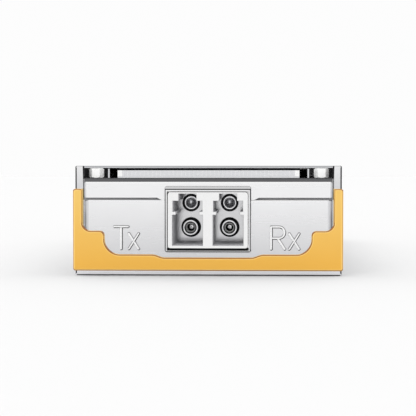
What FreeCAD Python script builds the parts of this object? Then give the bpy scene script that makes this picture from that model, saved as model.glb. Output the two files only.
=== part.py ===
import FreeCAD, Part
import math
import os

# Pluggable optical transceiver module: two cast half shells hold the optics and the board,
# a fin pack under a thin cover carries the heat away, and a yellow pull handle works the side latches.
# Millimetres. X runs across the module, Y from the optical ports to the rear plug, Z up.
# The origin is on the underside, at the middle of the length and width.

Vector = FreeCAD.Vector

# Overall
MODULE_LENGTH = 107.5
MODULE_HEIGHT = 17.0
BODY_WIDTH = 41.3
HANDLE_OVERHANG = 0.1

# Clearances
SLIDE_FIT = 0.1
SEAT_FIT = 0.05
CUT_MARGIN = 1.0
SAME_PLACE = 1e-6

# Heights, stacked down from the cover
COVER_THICKNESS = 0.4
COVER_PAD = 0.3
CHANNEL_HEIGHT = 1.47
DECK_THICKNESS = 1.93
FLANGE_HEIGHT = 1.48

# Lower shell
FLOOR_THICKNESS = 1.8
WALL_THICKNESS = 3.0
RAIL_THICKNESS = 1.29
FRONT_WALL = 1.6
REAR_WALL = 2.0
BOTTOM_EDGE_RADIUS = 0.35
RAIL_EDGE_RADIUS = 0.25
REAR_LEAD_IN = 0.8

# Nose, the front face that stands proud between the latch arms
NOSE_INSET = 1.45
NOSE_PROUD = 0.9
NOSE_BOTTOM = 1.2
LOWER_NOSE_RADIUS = 0.76
UPPER_NOSE_RADIUS = 0.38
NOSE_TOP_CHAMFER = 0.7
SEAM_GROOVE = 0.28
SEAM_GROOVE_DEPTH = 0.8
SEAM_GROOVE_END = 0.7

# Raised rim round the optical receptacle
RIM_DROP = 0.15
RIM_HEAD = 0.74
RIM_SIDE = 0.3
RIM_FOOT = 0.2
RIM_PROUD = 0.6
RIM_BEVEL = 0.42
RIM_BEVEL_DEPTH = 0.2
RIM_CORNER_RADIUS = 0.3

# Optical receptacle with two latched ports
PORT_PITCH = 6.25
PORT_SQUARE = 4.72
PORT_NECK = 3.62
PORT_SHOULDER = 4.56
PORT_NOTCH = 2.74
NECK_HEIGHT = 0.5
SHOULDER_HEIGHT = 1.66
NOTCH_HEIGHT = 1.1
PORT_DEPTH = 11.4
RECEPTACLE_SIDE = 0.71
RECEPTACLE_HEAD = 0.27
RECEPTACLE_FOOT = 0.45
RECEPTACLE_SIDE_GAP = 0.1
RECEPTACLE_HEAD_GAP = 0.08
RECEPTACLE_FOOT_GAP = 0.34
RECEPTACLE_SETBACK = 0.1
RECEPTACLE_CORNER_RADIUS = 0.45
RECEPTACLE_BACK = 2.2
RECEPTACLE_FLANGE = 1.2
FLANGE_REACH = 1.3
FLANGE_DROP = 0.6
GASKET_THICKNESS = 0.5
RETAINING_RIB = 1.2

# Fibre barrels, sleeves and stubs
BARREL_RADIUS = 1.24
BARREL_MOUTH_RADIUS = 0.96
BARREL_PROUD = 2.2
BARREL_TAIL = 1.4
BARREL_HOLE_RADIUS = 1.56
SLEEVE_RADIUS = 0.8
SLEEVE_BORE_RADIUS = 0.625
SLEEVE_LENGTH = 3.2
SLEEVE_SETBACK = 0.15
STUB_LENGTH = 1.6

# Clamp behind the receptacle, and the two dished pins that hold it
CLAMP_THICKNESS = 2.0
CLAMP_MARGIN = 0.3
PIN_RISE = 3.98
PIN_RADIUS = 1.02
PIN_DISH_RADIUS = 0.74
PIN_DISH = 0.4
PIN_RECESS_RADIUS = 1.4
PIN_RECESS = 1.0

# Light source and detector packages, with their flexible leads
PACKAGE_WIDTH = 5.5
PACKAGE_HEIGHT = 5.6
PACKAGE_LENGTH = 15.0
LID_HEIGHT = 0.7
LID_INSET = 0.35
LEAD_WIDTH = 4.2
LEAD_THICKNESS = 0.15
LEAD_LENGTH = 6.0
LEAD_LANDING = 2.0
OPTICS_PAD = 0.6

# Fin pack under the cover
FIN_PACK_INSET = 1.37
FIN_PITCH = 0.645
FIN_GAP = 0.06
FIN_END_WALL = 0.72
FIN_BASE = 0.25
FIN_SETBACK = 1.0
GUIDE_INSET = 3.85
GUIDE_THICKNESS = 0.25
GUIDE_SLOT_DEPTH = 0.3
REAR_DAM = 0.5

# Hex standoffs that clamp the shells and carry the edges of the cover
STANDOFF_INSET = 1.76
STANDOFF_CORNERS = 2.36
STANDOFF_SHANK_RADIUS = 0.6
STANDOFF_GRIP = 3.0
STANDOFF_END_INSET = 2.4
STANDOFFS_PER_SIDE = 2
BOSS_SIDE = 3.2
COVER_EDGE_RADIUS = 0.18
SHELL_GASKET_INSET = 0.7
SHELL_GASKET_WIDTH = 0.6
SHELL_GASKET_DEPTH = 0.4

# Pull handle
HANDLE_PLATE = 1.1
HANDLE_LIFT = 0.85
HANDLE_TOP_DROP = 3.55
HANDLE_ARM_WIDTH = 1.42
HANDLE_BAR = 2.02
HANDLE_SILL = 0.48
HANDLE_SHOULDER = 4.12
HANDLE_SHOULDER_INSET = 3.4
HANDLE_DIP_MARGIN = 0.33
HANDLE_WAVE = 1.3
HANDLE_ARMPIT_RADIUS = 1.3
HANDLE_SHOULDER_RADIUS = 0.75
HANDLE_SWEEP_RADIUS = 2.4
HANDLE_WAVE_RADIUS = 2.2
HANDLE_CORNER_CHAMFER = 0.25
HANDLE_EDGE_CHAMFER = 0.2

# Latch arms in the side grooves
ARM_HEIGHT = 5.0
ARM_THICKNESS = 0.5
ARM_CENTRE = 7.2
ARM_REACH = 44.0
ARM_ROOT = 1.5
LIP_THICKNESS = 0.35
LIP_OVERLAP = 0.45
LIP_LENGTH = 8.0
FRONT_LIP_START = 3.0
REAR_LIP_START = 25.0
CAM_LENGTH = 5.0
CAM_HEIGHT = 3.6
CAM_RISE = 0.4
CAM_RAMP = 1.4
GROOVE_END_GAP = 1.5

# Return springs in pockets behind the arms
SPRING_START = 10.0
SPRING_LENGTH = 9.0
SPRING_RADIUS = 0.52
SPRING_WIRE = 0.22
SPRING_TURNS = 6
SPRING_STEPS_PER_TURN = 8
SPRING_POCKET_DEPTH = 1.5
SPRING_POCKET_HEIGHT = 1.6
TAB_THICKNESS = 0.5

# Board and what it carries
BOARD_HEIGHT = 5.2
BOARD_THICKNESS = 1.2
BOARD_SIDE_GAP = 1.95
BOARD_POST_SIDE = 2.6
BOARD_POST_INSET = 2.0
PROCESSOR_SIDE = 15.0
PROCESSOR_THICKNESS = 1.6
PROCESSOR_PAD = 0.8
PROCESSOR_SETBACK = 14.0
CONTROLLER_SIDE = 7.0
CONTROLLER_THICKNESS = 0.9
INDUCTOR_SIDE = 3.2
INDUCTOR_HEIGHT = 2.2
INDUCTORS = 3
CAPACITOR_LENGTH = 1.6
CAPACITOR_WIDTH = 0.8
CAPACITOR_HEIGHT = 0.8
CAPACITORS = 8
CAPACITOR_PITCH = 2.4
OSCILLATOR_LENGTH = 5.0
OSCILLATOR_WIDTH = 3.2
OSCILLATOR_HEIGHT = 1.2
PART_ROW_GAP = 2.0

# Rear plug
PLUG_SIDE_GAP = 0.95
PLUG_HEIGHT = 7.4
PLUG_DEPTH = 14.0
PLUG_RECESS = 0.8
PLUG_WALL = 0.6
PLUG_MOUTH_HEIGHT = 5.4
PLUG_MOUTH_DEPTH = 8.0
TONGUE_SIDE_GAP = 0.4
TONGUE_THICKNESS = 1.2
TONGUE_SETBACK = 0.8
PLUG_BOARD_OVERLAP = 3.0
CONTACT_PITCH = 0.6
CONTACT_MARGIN = 0.1
CONTACT_WIDTH = 0.34
CONTACT_THICKNESS = 0.08
CONTACT_LENGTH = 6.0

# Planes and half widths that the pieces share
FRONT_Y = -MODULE_LENGTH / 2
REAR_Y = MODULE_LENGTH / 2
NOSE_Y = FRONT_Y + HANDLE_PLATE + SLIDE_FIT
RIM_Y = NOSE_Y - RIM_PROUD
BODY_Y = NOSE_Y + NOSE_PROUD
CAVITY_Y = BODY_Y + FRONT_WALL
BODY_X = BODY_WIDTH / 2
RAIL_X = BODY_X - RAIL_THICKNESS
CAVITY_X = BODY_X - WALL_THICKNESS
NOSE_X = BODY_X - NOSE_INSET
DECK_X = RAIL_X - SLIDE_FIT
STANDOFF_X = RAIL_X - STANDOFF_INSET
GUIDE_X = RAIL_X - GUIDE_INSET
FIN_PACK_X = GUIDE_X - FIN_PACK_INSET
SHELL_GASKET_X = RAIL_X - SHELL_GASKET_INSET
BOARD_X = CAVITY_X - BOARD_SIDE_GAP
PLUG_X = CAVITY_X - PLUG_SIDE_GAP
MOUTH_X = PLUG_X - PLUG_WALL
TONGUE_X = MOUTH_X - TONGUE_SIDE_GAP
COVER_UNDER = MODULE_HEIGHT - COVER_THICKNESS
DECK_TOP = COVER_UNDER - CHANNEL_HEIGHT
DECK_UNDER = DECK_TOP - DECK_THICKNESS
SEAM_Z = DECK_UNDER - FLANGE_HEIGHT

# Receptacle levels, stacked down from the deck
WINDOW_TOP = DECK_UNDER - RIM_DROP
RECEPTACLE_TOP = WINDOW_TOP - RECEPTACLE_HEAD_GAP
NOTCH_TOP = RECEPTACLE_TOP - RECEPTACLE_HEAD
SHOULDER_TOP = NOTCH_TOP - NOTCH_HEIGHT
NECK_TOP = SHOULDER_TOP - SHOULDER_HEIGHT
SQUARE_TOP = NECK_TOP - NECK_HEIGHT
SQUARE_BOTTOM = SQUARE_TOP - PORT_SQUARE
FERRULE_Z = (SQUARE_TOP + SQUARE_BOTTOM) / 2
RECEPTACLE_BOTTOM = SQUARE_BOTTOM - RECEPTACLE_FOOT
WINDOW_BOTTOM = RECEPTACLE_BOTTOM - RECEPTACLE_FOOT_GAP
RIM_TOP = WINDOW_TOP + RIM_HEAD
RIM_BOTTOM = WINDOW_BOTTOM - RIM_FOOT
PORT_X = PORT_PITCH / 2
RECEPTACLE_X = PORT_X + PORT_SQUARE / 2 + RECEPTACLE_SIDE
WINDOW_X = RECEPTACLE_X + RECEPTACLE_SIDE_GAP
RIM_X = WINDOW_X + RIM_SIDE
RECEPTACLE_Y = RIM_Y + RECEPTACLE_SETBACK
PORT_BACK_Y = RECEPTACLE_Y + PORT_DEPTH
RECEPTACLE_REAR_Y = PORT_BACK_Y + RECEPTACLE_BACK
FLANGE_Y = CAVITY_Y + GASKET_THICKNESS
FLANGE_X = RECEPTACLE_X + FLANGE_REACH
FLANGE_BOTTOM = RECEPTACLE_BOTTOM - FLANGE_DROP
CLAMP_REAR_Y = RECEPTACLE_REAR_Y + CLAMP_THICKNESS
PIN_Z = FERRULE_Z + PIN_RISE
BARREL_Y = PORT_BACK_Y - BARREL_PROUD
SLEEVE_Y = BARREL_Y + SLEEVE_SETBACK
PACKAGE_Y = CLAMP_REAR_Y + BARREL_TAIL
PACKAGE_REAR_Y = PACKAGE_Y + PACKAGE_LENGTH
PACKAGE_TOP = FERRULE_Z + PACKAGE_HEIGHT / 2

# Latch levels
HANDLE_X = BODY_X + HANDLE_OVERHANG
HANDLE_ARM_X = HANDLE_X - HANDLE_ARM_WIDTH
HANDLE_TOP = MODULE_HEIGHT - HANDLE_TOP_DROP
HANDLE_DIP_X = RIM_X + HANDLE_DIP_MARGIN
HANDLE_SILL_X = HANDLE_DIP_X + HANDLE_WAVE
HANDLE_DIP_Z = HANDLE_LIFT + HANDLE_BAR
HANDLE_SILL_Z = HANDLE_DIP_Z + HANDLE_SILL
HANDLE_SHOULDER_Z = HANDLE_DIP_Z + HANDLE_SHOULDER
HANDLE_REAR_Y = BODY_Y - SEAT_FIT
ARM_OUTER_X = BODY_X - LIP_THICKNESS - SLIDE_FIT
ARM_INNER_X = ARM_OUTER_X - ARM_THICKNESS
GROOVE_X = ARM_INNER_X - SLIDE_FIT
ARM_FRONT_Y = HANDLE_REAR_Y - ARM_ROOT
ARM_REAR_Y = BODY_Y + ARM_REACH
POCKET_X = GROOVE_X - SPRING_POCKET_DEPTH
SPRING_X = (GROOVE_X + POCKET_X) / 2
SPRING_Y = BODY_Y + SPRING_START
TAB_Y = SPRING_Y + SPRING_LENGTH

# Board levels
BOARD_TOP = BOARD_HEIGHT + BOARD_THICKNESS
BOARD_Y = PACKAGE_REAR_Y + LEAD_LENGTH - LEAD_LANDING
PLUG_REAR_Y = REAR_Y - PLUG_RECESS
PLUG_Y = PLUG_REAR_Y - PLUG_DEPTH
BOARD_REAR_Y = PLUG_Y + PLUG_BOARD_OVERLAP
PLUG_Z = BOARD_HEIGHT + BOARD_THICKNESS / 2
PROCESSOR_Y = BOARD_Y + PROCESSOR_SETBACK
PROCESSOR_TOP = BOARD_TOP + PROCESSOR_THICKNESS
FIN_Y = BODY_Y + FIN_SETBACK
FIN_REAR_Y = REAR_Y - FIN_SETBACK


def block(x, y, z):
    """Box between two limits on each axis."""
    size = (x[1] - x[0], y[1] - y[0], z[1] - z[0])
    return Part.makeBox(*size, Vector(x[0], y[0], z[0]))


def rod_y(x, z, radius, y):
    """Cylinder along Y between two limits."""
    return Part.makeCylinder(radius, y[1] - y[0], Vector(x, y[0], z), Vector(0, 1, 0))


def rod_z(x, y, radius, z):
    """Cylinder along Z between two limits."""
    return Part.makeCylinder(radius, z[1] - z[0], Vector(x, y, z[0]))


def mirrored(shape):
    """The same shape on the other side of the module."""
    return shape.mirror(Vector(0, 0, 0), Vector(1, 0, 0))


def both_sides(shape):
    """A shape and its mirror image."""
    return [shape, mirrored(shape)]


def spread(low, high, count):
    """Evenly spaced places from low to high."""
    return [low + (high - low) * step / (count - 1) for step in range(count)]


def rounded_prism(corners, y):
    """Prism along Y whose outline is a polygon of (x, z, radius) corners."""
    places = [Vector(x, y[0], z) for x, z, radius in corners]
    edges = []
    previous_end = None
    first_start = None
    for index, (_, _, radius) in enumerate(corners):
        here = places[index]
        before = (places[index - 1] - here).normalize()
        after = (places[(index + 1) % len(places)] - here).normalize()
        half_turn = before.getAngle(after) / 2
        reach = radius / math.tan(half_turn)
        start = here + before * reach
        end = here + after * reach
        if previous_end is None:
            first_start = start
        elif previous_end.distanceToPoint(start) > SAME_PLACE:
            edges.append(Part.LineSegment(previous_end, start).toShape())
        if radius:
            inward = (before + after).normalize()
            middle = here + inward * (radius / math.sin(half_turn) - radius)
            edges.append(Part.Arc(start, middle, end).toShape())
        previous_end = end
    edges.append(Part.LineSegment(previous_end, first_start).toShape())
    return Part.Face(Part.Wire(edges)).extrude(Vector(0, y[1] - y[0], 0))


def turned_y(x, z, outline):
    """Solid turned about an axis along Y from an outline of (radius, y) points."""
    points = [Vector(x + radius, y, z) for radius, y in outline]
    face = Part.Face(Part.makePolygon(points + points[:1]))
    return face.revolve(Vector(x, 0, z), Vector(0, 1, 0), 360)


def hexagon(x, y, across_corners, z):
    """Hexagonal prism along Z with two corners on the X axis."""
    radius = across_corners / 2
    turns = [math.radians(60 * step) for step in range(6)]
    points = [Vector(x + radius * math.cos(t), y + radius * math.sin(t), z[0]) for t in turns]
    face = Part.Face(Part.makePolygon(points + points[:1]))
    return face.extrude(Vector(0, 0, z[1] - z[0]))


def edges_along(shape, axis, test):
    """Straight edges along one axis whose middle passes a test."""
    found = []
    for edge in shape.Edges:
        start = edge.valueAt(edge.FirstParameter)
        end = edge.valueAt(edge.LastParameter)
        run = (end - start).normalize() if edge.Length > SAME_PLACE else Vector()
        if close(abs(run.dot(axis)), 1) and test((start + end) * 0.5):
            found.append(edge)
    return found


def close(a, b):
    """Whether two sizes agree."""
    return abs(a - b) < SAME_PLACE


def standoff_places():
    """Where the hex standoffs stand, both sides of the module."""
    rows = spread(BODY_Y + STANDOFF_END_INSET, REAR_Y - STANDOFF_END_INSET, STANDOFFS_PER_SIDE)
    return [(side * STANDOFF_X, y) for y in rows for side in (-1, 1)]


def board_post_places():
    """Corners where the board is trapped between the two shells, clear of the plug."""
    x = BOARD_X - BOARD_POST_INSET
    rows = (BOARD_Y + BOARD_POST_INSET + LEAD_LANDING, PLUG_Y - BOARD_POST_INSET)
    return [(side * x, y) for y in rows for side in (-1, 1)]


def column(x, y, side, z):
    """Square column between two heights."""
    half = side / 2
    return block((x - half, x + half), (y - half, y + half), z)


def receptacle_window():
    """The cut through both shells that the receptacle sits in."""
    reach = (RIM_Y - CUT_MARGIN, CAVITY_Y + CUT_MARGIN)
    return block((-WINDOW_X, WINDOW_X), reach, (WINDOW_BOTTOM, WINDOW_TOP))


def receptacle_rim():
    """Raised frame round the window, with a sloping head."""
    corners = [
        (-RIM_X, RIM_BOTTOM, RIM_CORNER_RADIUS),
        (RIM_X, RIM_BOTTOM, RIM_CORNER_RADIUS),
        (RIM_X, RIM_TOP, RIM_CORNER_RADIUS),
        (-RIM_X, RIM_TOP, RIM_CORNER_RADIUS),
    ]
    rim = rounded_prism(corners, (RIM_Y, NOSE_Y + NOSE_PROUD))
    above = RIM_TOP + CUT_MARGIN
    ahead = RIM_Y - CUT_MARGIN
    slope = [
        (RIM_Y, RIM_TOP - RIM_BEVEL),
        (RIM_Y + RIM_BEVEL_DEPTH, RIM_TOP),
        (RIM_Y + RIM_BEVEL_DEPTH, above),
        (ahead, above),
        (ahead, RIM_TOP - RIM_BEVEL),
    ]
    points = [Vector(-RIM_X - CUT_MARGIN, y, z) for y, z in slope]
    face = Part.Face(Part.makePolygon(points + points[:1]))
    return rim.cut(face.extrude(Vector(2 * (RIM_X + CUT_MARGIN), 0, 0)))


def nose_block(z):
    """Front face block between two heights, with plain edges."""
    return block((-NOSE_X, NOSE_X), (NOSE_Y, BODY_Y + FRONT_WALL), z)


def lower_nose():
    """Lower half of the front face."""
    nose = nose_block((NOSE_BOTTOM, SEAM_Z))
    upright = edges_along(nose, Vector(0, 0, 1), lambda p: close(p.y, NOSE_Y))
    return nose.makeFillet(LOWER_NOSE_RADIUS, upright)


def upper_nose():
    """Upper half of the front face, with its top edge chamfered."""
    plain = nose_block((SEAM_Z, DECK_TOP))
    upright = edges_along(plain, Vector(0, 0, 1), lambda p: close(p.y, NOSE_Y))
    top = edges_along(plain, Vector(1, 0, 0), lambda p: close(p.y, NOSE_Y) and close(p.z, DECK_TOP))
    sides_rounded = plain.makeFillet(UPPER_NOSE_RADIUS, upright)
    top_chamfered = plain.makeChamfer(NOSE_TOP_CHAMFER, top)
    return sides_rounded.common(top_chamfered)


def seam_groove():
    """Shadow groove along the seam, stopping short of the rim with a slanted end."""
    inner = RIM_X + SEAM_GROOVE_END
    corners = [
        (inner, SEAM_Z, 0),
        (NOSE_X + CUT_MARGIN, SEAM_Z, 0),
        (NOSE_X + CUT_MARGIN, SEAM_Z + SEAM_GROOVE, 0),
        (inner + 2 * SEAM_GROOVE, SEAM_Z + SEAM_GROOVE, 0),
    ]
    return rounded_prism(corners, (NOSE_Y - CUT_MARGIN, NOSE_Y + SEAM_GROOVE_DEPTH))


def latch_groove():
    """Cut in the right-hand wall for the latch arm: open groove, retaining lips and spring pocket."""
    mouth = (BODY_Y - CUT_MARGIN, ARM_REAR_Y + GROOVE_END_GAP)
    half = ARM_HEIGHT / 2 + SLIDE_FIT
    groove = block((GROOVE_X, BODY_X + CUT_MARGIN), mouth, (ARM_CENTRE - half, ARM_CENTRE + half))
    for start in (FRONT_LIP_START, REAR_LIP_START):
        reach = (BODY_Y + start, BODY_Y + start + LIP_LENGTH)
        band = (BODY_X - LIP_THICKNESS, BODY_X + CUT_MARGIN)
        upper = block(band, reach, (ARM_CENTRE + half - LIP_OVERLAP, ARM_CENTRE + half))
        lower = block(band, reach, (ARM_CENTRE - half, ARM_CENTRE - half + LIP_OVERLAP))
        groove = groove.cut(upper.fuse(lower))
    pocket_half = SPRING_POCKET_HEIGHT / 2
    pocket = block(
        (POCKET_X, GROOVE_X + SLIDE_FIT),
        (SPRING_Y, TAB_Y + TAB_THICKNESS + 2 * SLIDE_FIT),
        (ARM_CENTRE - pocket_half, ARM_CENTRE + pocket_half),
    )
    return groove.fuse(pocket)


def shell_gasket_grooves(depth_margin):
    """Strips along both ledges, as deep as the gasket."""
    half = SHELL_GASKET_WIDTH / 2
    strip = block(
        (SHELL_GASKET_X - half, SHELL_GASKET_X + half),
        (CAVITY_Y, REAR_Y - REAR_WALL),
        (SEAM_Z - SHELL_GASKET_DEPTH, SEAM_Z + depth_margin),
    )
    return both_sides(strip)


def plug_seat():
    """Space that the rear plug sits in, with a clearance at its sides, front and top."""
    half = PLUG_X + SEAT_FIT
    low = PLUG_Z - PLUG_HEIGHT / 2
    span = (PLUG_Y - SEAT_FIT, REAR_Y + CUT_MARGIN)
    return block((-half, half), span, (low, low + PLUG_HEIGHT + SEAT_FIT))


def lower_shell():
    """Cast lower half: floor, side walls with latch grooves, lower nose and standoff bosses."""
    corners = [
        (-BODY_X, 0, BOTTOM_EDGE_RADIUS),
        (BODY_X, 0, BOTTOM_EDGE_RADIUS),
        (BODY_X, MODULE_HEIGHT, RAIL_EDGE_RADIUS),
        (-BODY_X, MODULE_HEIGHT, RAIL_EDGE_RADIUS),
    ]
    shell = rounded_prism(corners, (BODY_Y, REAR_Y))
    envelope = block((-BODY_X, BODY_X), (BODY_Y, REAR_Y), (0, MODULE_HEIGHT))
    upright = edges_along(envelope, Vector(0, 0, 1), lambda p: close(p.y, REAR_Y))
    shell = shell.common(envelope.makeChamfer(REAR_LEAD_IN, upright))
    trough = (BODY_Y - CUT_MARGIN, REAR_Y + CUT_MARGIN)
    shell = shell.cut(block((-RAIL_X, RAIL_X), trough, (SEAM_Z, MODULE_HEIGHT + CUT_MARGIN)))
    cavity = (CAVITY_Y, REAR_Y - REAR_WALL)
    shell = shell.cut(block((-CAVITY_X, CAVITY_X), cavity, (FLOOR_THICKNESS, SEAM_Z + CUT_MARGIN)))
    shell = shell.fuse(lower_nose())
    rim_half = block((-RIM_X, RIM_X), (RIM_Y - CUT_MARGIN, REAR_Y), (0, SEAM_Z))
    shell = shell.fuse(receptacle_rim().common(rim_half))
    inside = block((-RAIL_X, RAIL_X), (BODY_Y, REAR_Y), (0, SEAM_Z))
    columns = [column(x, y, BOSS_SIDE, (0, SEAM_Z)).common(inside) for x, y in standoff_places()]
    columns += [column(x, y, BOARD_POST_SIDE, (0, BOARD_HEIGHT)) for x, y in board_post_places()]
    rib_y = (FLANGE_Y + RECEPTACLE_FLANGE, FLANGE_Y + RECEPTACLE_FLANGE + RETAINING_RIB)
    rib = block((RECEPTACLE_X + SLIDE_FIT, FLANGE_X), rib_y, (0, SEAM_Z - SEAM_GROOVE))
    cuts = [receptacle_window(), plug_seat()]
    cuts += both_sides(latch_groove())
    cuts += shell_gasket_grooves(CUT_MARGIN)
    tapped = (SEAM_Z - STANDOFF_GRIP - SEAT_FIT, SEAM_Z + CUT_MARGIN)
    cuts += [rod_z(x, y, STANDOFF_SHANK_RADIUS + SEAT_FIT, tapped) for x, y in standoff_places()]
    return shell.fuse(columns + both_sides(rib)).cut(cuts).removeSplitter()


def upper_shell():
    """Cast upper half: deck, flanges, upper nose, heat pedestals, and dams that keep air in the fins."""
    deck = block((-DECK_X, DECK_X), (BODY_Y, REAR_Y), (DECK_UNDER, DECK_TOP))
    flange = block((CAVITY_X, DECK_X), (BODY_Y, REAR_Y), (SEAM_Z, DECK_UNDER))
    front = block((-DECK_X, DECK_X), (BODY_Y, CAVITY_Y), (SEAM_Z, DECK_UNDER))
    rear = block((-DECK_X, DECK_X), (REAR_Y - REAR_WALL, REAR_Y), (SEAM_Z, DECK_UNDER))
    shell = deck.fuse(both_sides(flange) + [front, rear, upper_nose()])
    rim_half = block((-RIM_X, RIM_X), (RIM_Y - CUT_MARGIN, REAR_Y), (SEAM_Z, MODULE_HEIGHT))
    shell = shell.fuse(receptacle_rim().common(rim_half))
    inside = block((-DECK_X, DECK_X), (BODY_Y, REAR_Y), (SEAM_Z, DECK_TOP))
    columns = [column(x, y, BOSS_SIDE, (SEAM_Z, DECK_TOP)).common(inside) for x, y in standoff_places()]
    columns += [column(x, y, BOARD_POST_SIDE, (BOARD_TOP, DECK_TOP)) for x, y in board_post_places()]
    half = PROCESSOR_SIDE / 2
    pedestal = block(
        (-half, half),
        (PROCESSOR_Y - half, PROCESSOR_Y + half),
        (PROCESSOR_TOP + PROCESSOR_PAD, DECK_TOP),
    )
    optics_half = PORT_X + PACKAGE_WIDTH / 2
    saddle = block(
        (-optics_half, optics_half),
        (PACKAGE_Y, PACKAGE_REAR_Y),
        (PACKAGE_TOP + OPTICS_PAD, DECK_TOP),
    )
    shell = shell.fuse(columns + [pedestal, saddle])
    dam_end = REAR_Y - REAR_LEAD_IN
    dam = block(
        (FIN_PACK_X + SEAT_FIT, DECK_X),
        (dam_end - REAR_DAM, dam_end),
        (DECK_TOP, COVER_UNDER - SEAT_FIT),
    )
    shell = shell.fuse(both_sides(dam))
    cuts = [receptacle_window()] + both_sides(seam_groove())
    through = (SEAM_Z - CUT_MARGIN, DECK_TOP + CUT_MARGIN)
    cuts += [rod_z(x, y, STANDOFF_SHANK_RADIUS + SEAT_FIT, through) for x, y in standoff_places()]
    cuts += both_sides(guide_strip(SEAT_FIT))
    return shell.cut(cuts).removeSplitter()


def guide_strip(fit):
    """Thin strip that stands in the deck beside the fin pack, grown by a clearance for its slot."""
    half = GUIDE_THICKNESS / 2 + fit
    return block(
        (GUIDE_X - half, GUIDE_X + half),
        (FIN_Y - fit, FIN_REAR_Y + fit),
        (DECK_TOP - GUIDE_SLOT_DEPTH, COVER_UNDER - SEAT_FIT),
    )


def heat_sink():
    """Fin pack on a thin base, with a thicker wall at each side."""
    top = COVER_UNDER - COVER_PAD
    pack = block((-FIN_PACK_X, FIN_PACK_X), (FIN_Y, FIN_REAR_Y), (DECK_TOP, top))
    room = 2 * (FIN_PACK_X - FIN_END_WALL)
    gaps = int((room + FIN_PITCH - FIN_GAP) / FIN_PITCH)
    first = -(gaps - 1) * FIN_PITCH / 2
    slots = []
    for index in range(gaps):
        x = first + index * FIN_PITCH
        slot = block(
            (x - FIN_GAP / 2, x + FIN_GAP / 2),
            (FIN_Y - CUT_MARGIN, FIN_REAR_Y + CUT_MARGIN),
            (DECK_TOP + FIN_BASE, top + CUT_MARGIN),
        )
        slots.append(slot)
    return pack.cut(slots)


def fin_cover():
    """Thin top cover, with a thicker band where it is brazed to the fins."""
    sheet = block((-DECK_X, DECK_X), (BODY_Y, REAR_Y - REAR_LEAD_IN), (COVER_UNDER, MODULE_HEIGHT))
    front = edges_along(sheet, Vector(1, 0, 0), lambda p: close(p.y, BODY_Y))
    sheet = sheet.makeFillet(COVER_EDGE_RADIUS, front)
    half = FIN_PACK_X + SEAT_FIT
    band = block((-half, half), (FIN_Y, FIN_REAR_Y), (COVER_UNDER - COVER_PAD, MODULE_HEIGHT - COVER_PAD))
    return sheet.fuse(band).removeSplitter()


def standoff(x, y):
    """Hex standoff whose threaded shank clamps the upper shell to the lower one."""
    body = hexagon(x, y, STANDOFF_CORNERS, (DECK_TOP, COVER_UNDER))
    shank = rod_z(x, y, STANDOFF_SHANK_RADIUS, (SEAM_Z - STANDOFF_GRIP, DECK_TOP))
    return body.fuse(shank)


def port_cavity(x):
    """Space for one latched plug: square body, neck, shoulders and latch notch."""
    right = [
        (PORT_SQUARE / 2, SQUARE_BOTTOM),
        (PORT_SQUARE / 2, SQUARE_TOP),
        (PORT_NECK / 2, SQUARE_TOP),
        (PORT_NECK / 2, NECK_TOP),
        (PORT_SHOULDER / 2, NECK_TOP),
        (PORT_SHOULDER / 2, SHOULDER_TOP),
        (PORT_NOTCH / 2, SHOULDER_TOP),
        (PORT_NOTCH / 2, NOTCH_TOP),
    ]
    left = [(-across, height) for across, height in reversed(right)]
    corners = [(x + across, height, 0) for across, height in right + left]
    return rounded_prism(corners, (RECEPTACLE_Y - CUT_MARGIN, PORT_BACK_Y))


def receptacle():
    """Block with two latched ports, a fixing flange and holes for the barrels and clamp pins."""
    radius = RECEPTACLE_CORNER_RADIUS
    corners = [
        (-RECEPTACLE_X, RECEPTACLE_BOTTOM, radius),
        (RECEPTACLE_X, RECEPTACLE_BOTTOM, radius),
        (RECEPTACLE_X, RECEPTACLE_TOP, radius),
        (-RECEPTACLE_X, RECEPTACLE_TOP, radius),
    ]
    body = rounded_prism(corners, (RECEPTACLE_Y, RECEPTACLE_REAR_Y))
    flange = block(
        (-FLANGE_X, FLANGE_X), (FLANGE_Y, FLANGE_Y + RECEPTACLE_FLANGE), (FLANGE_BOTTOM, RECEPTACLE_TOP)
    )
    cuts = []
    for side in (-1, 1):
        x = side * PORT_X
        through = (PORT_BACK_Y - CUT_MARGIN, RECEPTACLE_REAR_Y + CUT_MARGIN)
        cuts.append(port_cavity(x))
        cuts.append(rod_y(x, FERRULE_Z, BARREL_HOLE_RADIUS, through))
        recess = (PORT_BACK_Y - CUT_MARGIN, PORT_BACK_Y + PIN_RECESS)
        cuts.append(rod_y(x, PIN_Z, PIN_RECESS_RADIUS, recess))
        cuts.append(rod_y(x, PIN_Z, PIN_RADIUS, through))
    return body.fuse(flange).cut(cuts).removeSplitter()


def receptacle_gasket():
    """Conductive ring between the front wall and the receptacle's flange."""
    ring = block((-FLANGE_X, FLANGE_X), (CAVITY_Y, FLANGE_Y), (FLANGE_BOTTOM, RECEPTACLE_TOP))
    hole = block(
        (-RECEPTACLE_X - SLIDE_FIT, RECEPTACLE_X + SLIDE_FIT),
        (CAVITY_Y - CUT_MARGIN, FLANGE_Y + CUT_MARGIN),
        (RECEPTACLE_BOTTOM - SLIDE_FIT, RECEPTACLE_TOP + CUT_MARGIN),
    )
    return ring.cut(hole)


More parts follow.
